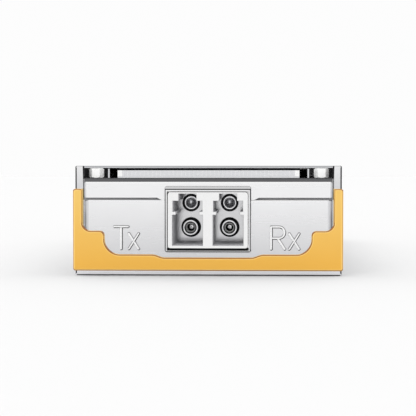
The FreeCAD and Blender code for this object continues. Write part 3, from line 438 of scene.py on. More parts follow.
    # The same coat on the upright edges of the arms, painted lighter against the shade there, with painted
    # shade where they round over.
    HANDLE_SIDE = MouldedFinish(
        "yellow_powder_coat_painted_light", "F2CB70", "F0C76A", (0.4, 0.5), grain_mm=0.5, relief_mm=0.002,
        edge="C48A38", flat=0.96, rounded=0.8, coat=0.1,
    )
    # Nylon standoffs: white and waxy.
    NYLON = MouldedFinish(
        "nylon_moulded_white", "FDFDFC", "FAFAF9", (0.35, 0.45), relief_mm=0.002, index=1.53
    )
    # Glass-filled moulding of the rear plug: matt black with a fine spark-eroded texture.
    PLUG = MouldedFinish(
        "glass_filled_polymer_black", "1C1C1E", "141416", (0.45, 0.6), grain_mm=0.2, relief_mm=0.004
    )
    # Epoxy moulding compound of the chips: charcoal and slightly grainy.
    CHIP = MouldedFinish(
        "epoxy_mould_compound", "2A2A2C", "202022", (0.5, 0.65), grain_mm=0.15, relief_mm=0.004
    )
    # Fired zirconia: dense grey-white with a ground surface.
    ZIRCONIA = MouldedFinish("zirconia_ground", "D8D8D6", "CFCFCD", (0.2, 0.3), Grain.TURNED, 0.1, index=2.1)
    # Sintered ceramic capacitor bodies: matt tan.
    CAPACITOR = MouldedFinish(
        "capacitor_ceramic_fired", "B79C76", "A88C66", (0.45, 0.6), grain_mm=0.2, relief_mm=0.003
    )
    # Silicone gap filler: soft, matt and slightly mottled.
    PAD = MouldedFinish(
        "silicone_gap_filler", "A9B4BC", "98A3AB", (0.6, 0.75), grain_mm=0.6, relief_mm=0.02, index=1.4
    )
    # Carbon-filled elastomer of the gaskets and seals: matt and nearly black.
    GASKET = MouldedFinish(
        "conductive_elastomer", "3A3B3D", "2E2F31", (0.6, 0.75), grain_mm=0.2, relief_mm=0.006, index=1.42
    )
    # Polyimide film of the flexible leads: amber and smooth.
    FILM = MouldedFinish("polyimide_film", "C77E2C", "B56F22", (0.25, 0.35), Grain.LENGTHWISE, 0.4, index=1.7)
    # Glass laminate under green solder mask, with tracks that show through it.
    BOARD = BoardFinish("glass_laminate_solder_mask", "1E6A48", "185A3C", (0.3, 0.42), relief_mm=0.003)
    # Cleaved fibre in the middle of each stub: a dark glass dot.
    FIBRE = MouldedFinish(
        "silica_fibre_end", "5A5C60", "4C4E52", (0.05, 0.1), grain_mm=0.1, relief_mm=0.0005, index=1.46
    )


def dress(node: str, finish: Finish) -> None:
    """Gives a CAD node that stays in view its finish.

    Args:
        node: Name of the node.
        finish: Finish that it gets.
    """
    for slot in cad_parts[node].material_slots:
        slot.material = finish.material()
    LOG.info("dressed %s in %s", node, finish.title)


def finish_piece(
    work: BMesh,
    name: str,
    finishes: Sequence[Finish],
    body: str = HOUSING,
    nodes: Sequence[str] = (),
) -> Object:
    """Closes a mesh, shades it and hands it to the module.

    Args:
        work: Mesh in metres, with its place in it.
        name: Name of the piece.
        finishes: Finishes that its faces are painted with, by number.
        body: Body that carries it, or nothing for a piece that no body carries.
        nodes: CAD nodes that it stands for.

    Returns:
        The finished piece.
    """
    bmesh.ops.remove_doubles(work, verts=work.verts, dist=SAME_PLACE)
    bmesh.ops.recalc_face_normals(work, faces=work.faces)
    for face in work.faces:
        face.smooth = True
    for edge in work.edges:
        edge.smooth = len(edge.link_faces) == 2 and edge.calc_face_angle() < math.radians(SHARP)
    mesh = bpy.data.meshes.new(name)
    work.to_mesh(mesh)
    work.free()
    for finish in finishes:
        mesh.materials.append(finish.material())
    piece = bpy.data.objects.new(name, mesh)
    bpy.context.scene.collection.objects.link(piece)
    shading = piece.modifiers.new("even_shading", "WEIGHTED_NORMAL")
    shading.keep_sharp = True
    if body:
        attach(piece, body)
    if nodes:
        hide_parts(*nodes)
    LOG.info("built %s in %s", name, finishes[0].title)
    return piece


def paint(work: BMesh, number: int, chosen: FaceTest) -> None:
    """Gives some faces another of the piece's finishes.

    Args:
        work: Mesh that holds the faces.
        number: Place of the finish in the piece's list.
        chosen: Test of a face's middle, in millimetres, and its normal.
    """
    bmesh.ops.recalc_face_normals(work, faces=work.faces)
    for face in work.faces:
        if chosen(face.calc_center_median() / MM, face.normal):
            face.material_index = number


def round_edges(work: BMesh, edges: Sequence[BMEdge], radius_mm: float, segments: int = EASE_STEPS) -> None:
    """Rounds edges over.

    Args:
        work: Mesh that holds the edges.
        edges: Edges to round.
        radius_mm: Width of the rounding.
        segments: Steps in the rounding.
    """
    bmesh.ops.bevel(
        work,
        geom=list(edges),
        offset=radius_mm * MM,
        offset_type="OFFSET",
        affect="EDGES",
        segments=segments,
        profile=0.5,
        material=-1,
        clamp_overlap=False,
    )


def sharp_edges(work: BMesh, degrees: float, chosen: EdgeTest = lambda middle: True) -> list[BMEdge]:
    """Finds the edges at which two faces meet at an angle, apart from inner corners behind the nose.

    Args:
        work: Mesh to search.
        degrees: Least angle between the faces.
        chosen: Test of an edge's middle, in millimetres.

    Returns:
        The edges that pass.
    """
    found = []
    for edge in work.edges:
        middle = (edge.verts[0].co + edge.verts[1].co) / (2 * MM)
        eased = len(edge.link_faces) == 2 and (edge.is_convex or middle.y < FILLETS_END_Y)
        if eased and edge.calc_face_angle() > math.radians(degrees) and chosen(middle):
            found.append(edge)
    return found


def eased_copy(node: str, radius_mm: float, chosen: EdgeTest = lambda middle: True) -> BMesh:
    """Copies a CAD node's mesh, joins its triangles into flat faces and eases its sharp edges.

    Args:
        node: Name of the node.
        radius_mm: Width of the eased edge.
        chosen: Test of an edge's middle, in millimetres.

    Returns:
        The eased copy.
    """
    work = bmesh.new()
    work.from_mesh(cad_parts[node].data)
    bmesh.ops.remove_doubles(work, verts=work.verts, dist=SAME_PLACE)
    bmesh.ops.dissolve_limit(work, angle_limit=math.radians(FLAT), verts=work.verts, edges=work.edges)
    bmesh.ops.recalc_face_normals(work, faces=work.faces)
    round_edges(work, sharp_edges(work, SHARP, chosen), radius_mm)
    return work


def join(work: BMesh, part: BMesh) -> None:
    """Moves one mesh's geometry into another.

    Args:
        work: Mesh that takes the geometry.
        part: Mesh that is used up.
    """
    carrier = bpy.data.meshes.new("carrier")
    part.to_mesh(carrier)
    part.free()
    work.from_mesh(carrier)
    bpy.data.meshes.remove(carrier)


def turned(work: BMesh, x: float, z: float, outline: Outline, steps: int = LATHE_STEPS) -> None:
    """Turns an outline about an axis along Y.

    Args:
        work: Mesh that takes the turned shape.
        x: Place of the axis across the module, in millimetres.
        z: Height of the axis, in millimetres.
        outline: Radius and Y of each point, in millimetres.
        steps: Steps in the full turn.
    """
    points = [work.verts.new(Vector((x + radius, y, z)) * MM) for radius, y in outline]
    edges = [work.edges.new(pair) for pair in zip(points, points[1:])]
    bmesh.ops.spin(
        work,
        geom=points + edges,
        cent=Vector((x, 0, z)) * MM,
        axis=(0, 1, 0),
        angle=2 * math.pi,
        steps=steps,
        use_merge=True,
    )
    bmesh.ops.remove_doubles(work, verts=work.verts, dist=SAME_PLACE)


@dataclass
class Shells:
    """The two cast half shells, with the transmit and receive marks on the lower nose."""

    edge_mm: float = 0.13
    rail_edge_mm: float = 0.24
    lip_edge_mm: float = 0.15
    window_edge_mm: float = 0.05
    slope_edge_mm: float = 0.09
    rim_edge_mm: float = 0.12
    corner_depth: float = 0.1
    face_margin: float = 0.05
    nose_y: float = -52.55
    nose_proud: float = 0.9
    nose_skin: float = 0.3
    nose_flat_x: float = 18.45
    nose_turn: float = 0.999
    chamfer_low: float = 14.43
    chamfer_rise: float = 0.5
    deck_front_y: float = -51.85
    deck_lean: tuple[float, float] = (0.75, 0.999)
    rim_y: float = -53.15
    rim_x: float = 6.595
    rim_low: float = 3.73
    slope_low: float = 13.37
    slope_degrees: float = 20.0
    slope_lean: tuple[float, float] = (0.42, 0.5)
    under_slope_lean: tuple[float, float] = (0.02, 0.42)
    rim_turn: float = 0.98
    seam_lean: float = 0.8
    chamfer_lean: float = 0.6
    body_x: float = 20.65
    body_y: float = -51.65
    rail_x: float = 19.36
    floor_z: float = 0.6
    foot_radius: float = 0.3
    seam_z: float = 11.72
    seam_end: float = 7.3
    groove: float = 0.28
    groove_margin: float = 0.1
    groove_rear: float = 0.5
    rear_lead_y: float = 52.95
    dam_y: float = 52.0
    dam_low: float = 15.2
    mark_rise: float = 0.16
    mark_stroke: float = 0.46
    mark_round: float = 0.48
    mark_soft: float = 0.8
    mark_step: float = 0.01
    mark_steps: int = 5
    bowl_steps: int = 20
    mark_lap: float = 0.05
    mark_low: float = 4.18
    mark_high: float = 7.6
    small_high: float = 6.55
    small_width: float = 1.5
    transmit_x: float = -13.39
    transmit_half: float = 1.06
    transmit_small_x: float = -12.2
    receive_x: float = 9.78
    receive_bowl_x: float = 10.95
    receive_waist: float = 5.85
    receive_leg: tuple[float, float] = (10.75, 11.85)
    receive_small_x: float = 12.55
    grey_turn: float = 0.1
    dark_turn: float = 0.22

    def build(self) -> None:
        """Builds the shells and their marks, and dresses the gaskets between them."""
        eased = (
            (SHARP, self.on_rail_edge, self.rail_edge_mm),
            (SHARP, self.on_lip_edge, self.lip_edge_mm),
            (SHARP, self.on_window, self.window_edge_mm),
            (self.slope_degrees, self.under_slope, self.slope_edge_mm),
            (SHARP, self.on_rim, self.rim_edge_mm),
        )
        # Painted highlights on some edges, painted shade on the nose's sides, in the groove and along dark
        # lines, and greyer copies of the plate with painted shade on the fronts of the rails and floor.
        painted = {
            Finishes.HIGHLIGHT_CASTING: self.at_painted_highlight,
            Finishes.NOSE_SIDE: self.at_nose_side,
            Finishes.GROOVE: self.in_groove,
            Finishes.DARK_LINE: self.at_painted_dark_line,
            Finishes.RAIL: self.on_rail,
            Finishes.LIP: self.on_lip,
        }
        for side in ("lower", "upper"):
            node = side + "_housing"
            shell = eased_copy(node, self.edge_mm, self.is_eased)
            self.part_rails(shell)
            for degrees, place, radius_mm in eased:
                round_edges(shell, sharp_edges(shell, degrees, place), radius_mm)
            for number, chosen in enumerate(painted.values(), 1):
                paint(shell, number, chosen)
            finish_piece(shell, side + "_shell", [Finishes.CASTING, *painted], nodes=[node])
        self.transmit_mark()
        self.receive_mark()
        dress("shell_gaskets", Finishes.GASKET)

    def before_nose(self, middle: Vector) -> bool:
        """Whether a point is on the rim, which stands out from the nose's face."""
        return middle.y < self.nose_y - self.face_margin

    def at_body_front(self, middle: Vector) -> bool:
        """Whether a point is in the plane of the rails' fronts."""
        return abs(middle.y - self.body_y) < CLOSE

    def on_seam(self, middle: Vector) -> bool:
        """Whether an edge is on the seam where it crosses the rim."""
        return abs(middle.z - self.seam_z) < CLOSE and abs(middle.x) < self.seam_end

    def outside_rim(self, middle: Vector) -> float:
        """How far a point is outside the rim's sides and foot, in millimetres."""
        return max(abs(middle.x) - self.rim_x, self.rim_low - middle.z)

    def on_rim(self, middle: Vector) -> bool:
        """Whether an edge is on the rim's outline, off the seam."""
        outer = self.outside_rim(middle) > -self.corner_depth and middle.z < self.slope_low
        return outer and self.before_nose(middle) and not self.on_seam(middle)

    def on_window(self, middle: Vector) -> bool:
        """Whether an edge is on the rim inside its outline, off the seam."""
        return self.before_nose(middle) and not self.on_rim(middle) and not self.on_seam(middle)

    def under_slope(self, middle: Vector) -> bool:
        """Whether an edge is the lower one of the rim's slope."""
        return abs(middle.y - self.rim_y) < CLOSE and abs(middle.z - self.slope_low) < CLOSE

    def stays_sharp(self, middle: Vector) -> bool:
        """Tells the edges that aren't eased, because they are hidden or in a narrow place.

        Args:
            middle: Middle of an edge, in millimetres.

        Returns:
            Whether it is on a rear dam, at the nose's foot, at the back of the seam's groove or inside the
            shells.
        """
        between_rails = abs(middle.x) < self.rail_x
        on_dam = between_rails and middle.y > self.dam_y and middle.z > self.dam_low
        at_foot = between_rails and self.at_body_front(middle) and middle.z < self.seam_z
        in_groove = self.seam_z - CLOSE < middle.z < self.seam_z + self.groove + CLOSE
        at_back = in_groove and self.nose_y + self.groove_rear < middle.y < self.body_y + self.groove_margin
        across = abs(middle.x) < self.nose_flat_x and self.floor_z < middle.z < self.chamfer_low
        inside = across and self.nose_y + self.nose_skin < middle.y < self.rear_lead_y
        return on_dam or at_foot or at_back or inside

    def on_rail_edge(self, middle: Vector) -> bool:
        """Whether an edge is the outer front edge of a side rail."""
        outside = abs(middle.x) > self.body_x - CLOSE and middle.z > self.foot_radius
        return outside and self.at_body_front(middle)

    def on_lip_edge(self, middle: Vector) -> bool:
        """Whether an edge is the lower front edge of the floor, with its rounded ends."""
        outside = min(self.body_x - abs(middle.x), middle.z) < self.corner_depth
        return outside and middle.z < self.foot_radius and self.at_body_front(middle)

    def is_eased(self, middle: Vector) -> bool:
        """Whether an edge takes the shells' common easing."""
        own = self.on_seam(middle) or self.on_rail_edge(middle) or self.on_lip_edge(middle)
        return not (own or self.before_nose(middle) or self.stays_sharp(middle))

    def at_painted_highlight(self, middle: Vector, normal: Vector) -> bool:
        """Tells the edges that get a painted highlight.

        Args:
            middle: Middle of a face, in millimetres.
            normal: Which way it looks.

        Returns:
            Whether it is on the window's edge, the edge under the seam or the nose's chamfer, or at the rear.
        """
        if middle.y > self.rear_lead_y:
            return min(abs(normal.x), normal.y) > TURNED
        if self.before_nose(middle):
            above = middle.z > self.slope_low + self.corner_depth and normal.z > self.slope_lean[1]
            on_edge = middle.y < self.rim_y + self.window_edge_mm and abs(normal.y) < self.rim_turn
            return above or on_edge
        near = 2 * self.edge_mm
        turned_up = middle.y < self.nose_y + near and abs(normal.x) < TURNED < normal.z
        at_seam = abs(middle.z - self.seam_z) < near and normal.z < self.seam_lean
        under_chamfer = abs(middle.z - self.chamfer_low) < near and normal.z < self.chamfer_lean
        return turned_up and (at_seam or under_chamfer)

    def at_painted_dark_line(self, middle: Vector, normal: Vector) -> bool:
        """Tells the edges painted with shade, so that they show as dark lines.

        Args:
            middle: Middle of a face, in millimetres.
            normal: Which way it looks.

        Returns:
            Whether it is on the rim's outline, under its slope, at the deck's front, on a rail's inner wall,
            or on the outer edge of a rail or of the floor.
        """
        if self.before_nose(middle):
            outline = self.outside_rim(middle) > -self.rim_edge_mm and middle.z < self.slope_low
            least, most = self.under_slope_lean
            under_slope = abs(middle.z - self.slope_low) < self.rim_edge_mm and least < normal.z < most
            return under_slope or (outline and abs(normal.y) < self.rim_turn)
        if middle.z > self.chamfer_low + self.chamfer_rise and middle.y < self.deck_front_y + self.edge_mm:
            return self.deck_lean[0] < normal.z < self.deck_lean[1] and abs(middle.x) < self.rail_x
        if abs(abs(middle.x) - self.rail_x) < self.edge_mm and middle.z > self.seam_z:
            return normal.x * middle.x < -TURNED * abs(middle.x)
        outside = abs(middle.x) > self.body_x - self.rail_edge_mm or middle.z < self.lip_edge_mm
        return outside and middle.y < self.body_y + self.rail_edge_mm and abs(normal.y) < STRAIGHT

    def part_rails(self, shell: BMesh) -> None:
        """Parts the fronts of the side rails from the floor's front.

        Args:
            shell: Mesh of a shell.
        """
        shell.normal_update()
        level = Vector((0, 0, self.seam_z)) * MM
        fronts = [
            face for face in shell.faces if self.looks_ahead(face.calc_center_median() / MM, face.normal)
        ]
        edges = {edge for face in fronts for edge in face.edges}
        verts = {vert for face in fronts for vert in face.verts}
        bmesh.ops.bisect_plane(
            shell, geom=[*fronts, *edges, *verts], dist=SAME_PLACE, plane_co=level, plane_no=(0, 0, 1)
        )

    def looks_ahead(self, middle: Vector, normal: Vector) -> bool:
        """Whether a face is the front of a side rail or of the floor."""
        return self.at_body_front(middle) and normal.y < -STRAIGHT

    def on_rail(self, middle: Vector, normal: Vector) -> bool:
        """Whether a face is the front of a side rail."""
        return self.looks_ahead(middle, normal) and middle.z > self.seam_z

    def on_lip(self, middle: Vector, normal: Vector) -> bool:
        """Whether a face is the front of the floor."""
        return self.looks_ahead(middle, normal) and middle.z < self.seam_z

    def at_nose_side(self, middle: Vector, normal: Vector) -> bool:
        """Tells the faces that turn away from the front, which get painted shade.

        Args:
            middle: Middle of a face, in millimetres.
            normal: Which way it looks.

        Returns:
            Whether it is on a rounded side of the nose or on the rim's slope.
        """
        if self.before_nose(middle):
            return self.slope_lean[0] < normal.z < self.slope_lean[1] and middle.z > self.slope_low
        beside = abs(middle.x) > self.nose_flat_x and middle.y < self.nose_y + self.nose_proud
        return beside and abs(normal.z) < TURNED and abs(normal.y) < self.nose_turn

    def in_groove(self, middle: Vector, normal: Vector) -> bool:
        """Tells the faces of the groove along the seam, which get painted shade.

        Args:
            middle: Middle of a face, in millimetres.
            normal: Which way it looks.

        Returns:
            Whether it is inside the groove.
        """
        level = self.seam_z < middle.z < self.seam_z + self.groove
        deep = self.nose_y + self.groove_margin < middle.y < self.nose_y + self.nose_proud
        return level and deep and abs(middle.x) > self.seam_end - self.groove_margin

    def stroke(
        self, work: BMesh, start: tuple[float, float], end: tuple[float, float], below: int = 0
    ) -> None:
        """Adds a straight raised stroke with rounded ends.

        Args:
            work: Mesh that takes the stroke.
            start: X and Z of the middle of one end, in millimetres.
            end: X and Z of the middle of the other end, in millimetres.
            below: How many steps lower it is than the first stroke, so that no two tops lie in one plane.
        """
        rise = self.mark_rise - below * self.mark_step
        run = Vector((end[0] - start[0], 0, end[1] - start[1]))
        lean = math.atan2(run.z, run.x)
        middle = Vector(((start[0] + end[0]) / 2, self.nose_y, (start[1] + end[1]) / 2))
        size = Vector((run.length + self.mark_stroke, 2 * rise, self.mark_stroke))
        place = Matrix.Translation(middle * MM) @ Matrix.Rotation(-lean, 4, "Y")
        bar = bmesh.new()
        bmesh.ops.create_cube(bar, size=1.0, matrix=place @ Matrix.Diagonal((*(size * MM), 1)))
        ends = [e for e in bar.edges if abs((e.verts[0].co - e.verts[1].co).normalized().y) > STRAIGHT]
        round_edges(bar, ends, self.mark_stroke * self.mark_round, self.mark_steps)
        self.soften(bar, rise)
        join(work, bar)

    def soften(self, part: BMesh, rise: float) -> None:
        """Rounds the front edges of a part of a mark.

        Args:
            part: Mesh of the part.
            rise: How far it stands out of the nose's face, in millimetres.
        """
        bmesh.ops.recalc_face_normals(part, faces=part.faces)
        edges = sharp_edges(part, SQUARE, lambda middle: abs(middle.y - self.nose_y + rise) < CLOSE)
        round_edges(part, edges, rise * self.mark_soft)

    def bowl(self, work: BMesh, x: float, low: float, high: float) -> None:
        """Adds a raised half ring that opens to the left.

        Args:
            work: Mesh that takes the half ring.
            x: Where the ring's straight side is, in millimetres.
            low: Height of the lower end's middle, in millimetres.
            high: Height of the upper end's middle, in millimetres.
        """
        radius = (high - low) / 2
        centre = Vector((x, self.nose_y, (low + high) / 2)) * MM
        size = Vector((1, 2 * self.mark_rise * MM, self.mark_stroke * MM))
        start = Matrix.Translation(centre + Vector((0, 0, radius)) * MM)
        upright = Matrix.Rotation(math.pi / 2, 4, "Y")
        ring = bmesh.new()
        bmesh.ops.create_grid(ring, x_segments=1, y_segments=1, size=0.5, matrix=upright)
        bmesh.ops.transform(ring, matrix=start @ Matrix.Diagonal((*size, 1)), verts=ring.verts)
        bmesh.ops.spin(
            ring,
            geom=ring.verts[:] + ring.edges[:] + ring.faces[:],
            cent=centre,
            axis=(0, 1, 0),
            angle=math.pi,
            steps=self.bowl_steps,
        )
        self.soften(ring, self.mark_rise)
        join(work, ring)

    def cross(self, work: BMesh, left: float) -> None:
        """Adds the small letter x.

        Args:
            work: Mesh that takes the letter.
            left: Where its left ends are, in millimetres.
        """
        right = left + self.small_width
        self.stroke(work, (left, self.mark_low), (right, self.small_high))
        self.stroke(work, (left, self.small_high), (right, self.mark_low), 1)

    def transmit_mark(self) -> None:
        """Builds the mark of the transmit port."""
        work = bmesh.new()
        stem = self.transmit_x
        half = self.transmit_half
        self.stroke(work, (stem - half, self.mark_high), (stem + half, self.mark_high))
        self.stroke(work, (stem, self.mark_high - self.mark_lap), (stem, self.mark_low), 1)
        self.cross(work, self.transmit_small_x)
        self.finish_mark(work, "transmit_mark")

    def receive_mark(self) -> None:
        """Builds the mark of the receive port."""
        work = bmesh.new()
        stem = self.receive_x
        self.stroke(work, (stem, self.mark_low), (stem, self.mark_high))
        for height in (self.mark_high, self.receive_waist):
            self.stroke(work, (stem + self.mark_lap, height), (self.receive_bowl_x, height), 1)
        self.bowl(work, self.receive_bowl_x, self.receive_waist, self.mark_high)
        top, foot = self.receive_leg
        self.stroke(work, (top, self.receive_waist), (foot, self.mark_low), 2)
        self.cross(work, self.receive_small_x)
        self.finish_mark(work, "receive_mark")

    def finish_mark(self, work: BMesh, name: str) -> None:
        """Finishes a mark with painted light and shade: a painted highlight on top and to the left, grey
        painted shade above, and dark painted shade to the right and below.

        Args:
            work: Mesh of the mark.
            name: Name of the piece.
        """
        paint(work, 1, lambda middle, normal: max(normal.x, normal.z) > self.grey_turn)
        paint(work, 2, lambda middle, normal: normal.x - 2 * normal.z > self.dark_turn)
        sides = [Finishes.HIGHLIGHT_CASTING, Finishes.GREY_LINE, Finishes.DARK_LINE]
        finish_piece(work, name, sides)


@dataclass
class FinChannel:
    """The fin pack under its cover, with air guides at its sides and hex standoffs in the corners."""

    edge_mm: float = 0.06
    edge_turn: float = 0.05
    front_turn: float = 0.5
    deck_z: float = 15.13
    standoff_x: float = 17.6
    standoff_rows: tuple[float, float] = (-49.25, 51.35)
    standoff_corners: float = 2.36
    standoff_high: float = 16.6
    flat_cuts: int = 7
    cap_share: float = 0.96
    cap_inset: float = 0.1
    chamfer_slope: float = 0.7
    shank_low: float = 8.72
    shank_radius: float = 0.6
    shank_steps: int = 32
    fins_x: float = 14.14
    end_wall: float = 0.72
    fins_y: tuple[float, float] = (-50.65, 52.75)
    fin_high: float = 16.3
    fin_base: float = 0.25
    fin_count: int = 41
    fin_pitch: float = 0.645
    fin_gap: float = 0.002
    highlight_strip: float = 0.035

    def build(self) -> None:
        """Builds the cover, the fins and the standoffs, and dresses the guides."""
        cover = eased_copy("fin_cover", self.edge_mm)
        # Painted shade on the upper half of the cover's rounded front edge.
        paint(cover, 1, lambda middle, normal: min(normal.z, -normal.y) > self.edge_turn)
        # A painted shadow on the cover's band above the fins.
        paint(
            cover, 2, lambda middle, normal: middle.z < self.standoff_high and abs(normal.y) > self.front_turn
        )
        sheets = [Finishes.COVER, Finishes.COVER_EDGE, Finishes.COVER_SHADOW]
        piece = finish_piece(cover, "channel_cover", sheets, nodes=["fin_cover"])
        # The standoffs under the cover stay as white as they are, so it takes no light from them.
        piece.visible_diffuse = False
        piece.visible_shadow = False
        self.fin_pack()
        self.standoffs()
        dress("air_guide_left", Finishes.STRIP_STEEL)
        dress("air_guide_right", Finishes.STRIP_STEEL)

    def fin_pack(self) -> None:
        """Builds the fins on their base, with a strip of painted highlight between fins and a wall at each
        end painted the same.
        """
        work = bmesh.new()
        highlight_strips = bmesh.new()
        inside = self.fins_x - self.end_wall
        above = self.deck_z + self.fin_base
        self.bar(work, (-self.fins_x, self.fins_x), (self.deck_z, above - self.fin_gap))
        for index in range(self.fin_count + 2):
            middle = (index - (self.fin_count + 1) / 2) * self.fin_pitch
            half = (self.fin_pitch - self.highlight_strip) / 2
            self.bar(work, (max(middle - half, -inside), min(middle + half, inside)), (above, self.fin_high))
            # Between fins, a strip of painted highlight stands where the gap would be in shade.
            if index <= self.fin_count:
                highlight_strip = (middle + half + self.fin_gap, middle + half + self.highlight_strip - self.fin_gap)
                self.bar(highlight_strips, highlight_strip, (above, self.fin_high))
        for side in (-1, 1):
            outer = (side * (inside + self.fin_gap), side * self.fins_x)
            self.bar(work, (min(outer), max(outer)), (above, self.fin_high))
        # The end walls get the same painted highlight.
        paint(work, 1, lambda middle, normal: abs(middle.x) > inside)
        metals = [Finishes.FINS, Finishes.FIN_WALL]
        finish_piece(work, "skived_fins", metals, nodes=["heat_sink"])
        finish_piece(highlight_strips, "fin_highlight_strips", [Finishes.FIN_WALL])

    def bar(self, work: BMesh, x: tuple[float, float], z: tuple[float, float]) -> None:
        """Adds a bar that runs the whole length of the fin pack.

        Args:
            work: Mesh that takes the bar.
            x: Its two sides, in millimetres.
            z: Its bottom and top, in millimetres.
        """
        low = Vector((x[0], self.fins_y[0], z[0])) * MM
        high = Vector((x[1], self.fins_y[1], z[1])) * MM
        place = Matrix.Translation((low + high) / 2) @ Matrix.Diagonal((*(high - low), 1))
        bmesh.ops.create_cube(work, size=1.0, matrix=place)

    def standoffs(self) -> None:
        """Builds the four hex standoffs with chamfered ends."""
        work = bmesh.new()
        for y in self.standoff_rows:
            for x in (-self.standoff_x, self.standoff_x):
                self.standoff(work, x, y)
        finish_piece(work, "hex_standoffs", [Finishes.NYLON], nodes=["cover_standoffs"])

    def standoff(self, work: BMesh, x: float, y: float) -> None:
        """Adds one hexagon whose ends are turned to a cone, as on a nut, and its shank.

        Args:
            work: Mesh that takes the standoff.
            x: Place across the module, in millimetres.
            y: Place along the module, in millimetres.
        """
        height = self.standoff_high - self.deck_z
        radius = self.standoff_corners / 2 * MM
        half_side = math.pi / 6
        flat = radius * math.cos(half_side) * self.cap_share
        nut = bmesh.new()
        turn = Matrix.Rotation(half_side, 4, "Z")
        bmesh.ops.create_cone(
            nut, cap_ends=True, segments=6, radius1=radius, radius2=radius, depth=height * MM, matrix=turn
        )
        rings = [e for e in nut.edges if abs(e.verts[0].co.z - e.verts[1].co.z) < SAME_PLACE]
        bmesh.ops.subdivide_edges(nut, edges=rings, cuts=self.flat_cuts)
        rim = nut.verts[:]
        nut.normal_update()
        caps = [face for face in nut.faces if abs(face.normal.z) > STRAIGHT]
        bmesh.ops.inset_individual(nut, faces=caps, thickness=self.cap_inset * radius)
        for vert in {v for cap in caps for v in cap.verts}:
            stretch = flat / vert.co.xy.length
            vert.co.x *= stretch
            vert.co.y *= stretch
        for vert in rim:
            drop = (vert.co.xy.length - flat) * self.chamfer_slope
            vert.co.z -= math.copysign(drop, vert.co.z)
        depth = self.deck_z - self.shank_low
        below = Matrix.Translation((0, 0, -(height + depth) / 2 * MM))
        shank = self.shank_radius * MM
        bmesh.ops.create_cone(
            nut,
            cap_ends=True,
            segments=self.shank_steps,
            radius1=shank,
            radius2=shank,
            depth=depth * MM,
            matrix=below,
        )
        middle = Vector((x, y, self.deck_z + height / 2)) * MM
        bmesh.ops.translate(nut, vec=middle, verts=nut.verts)
        join(work, nut)


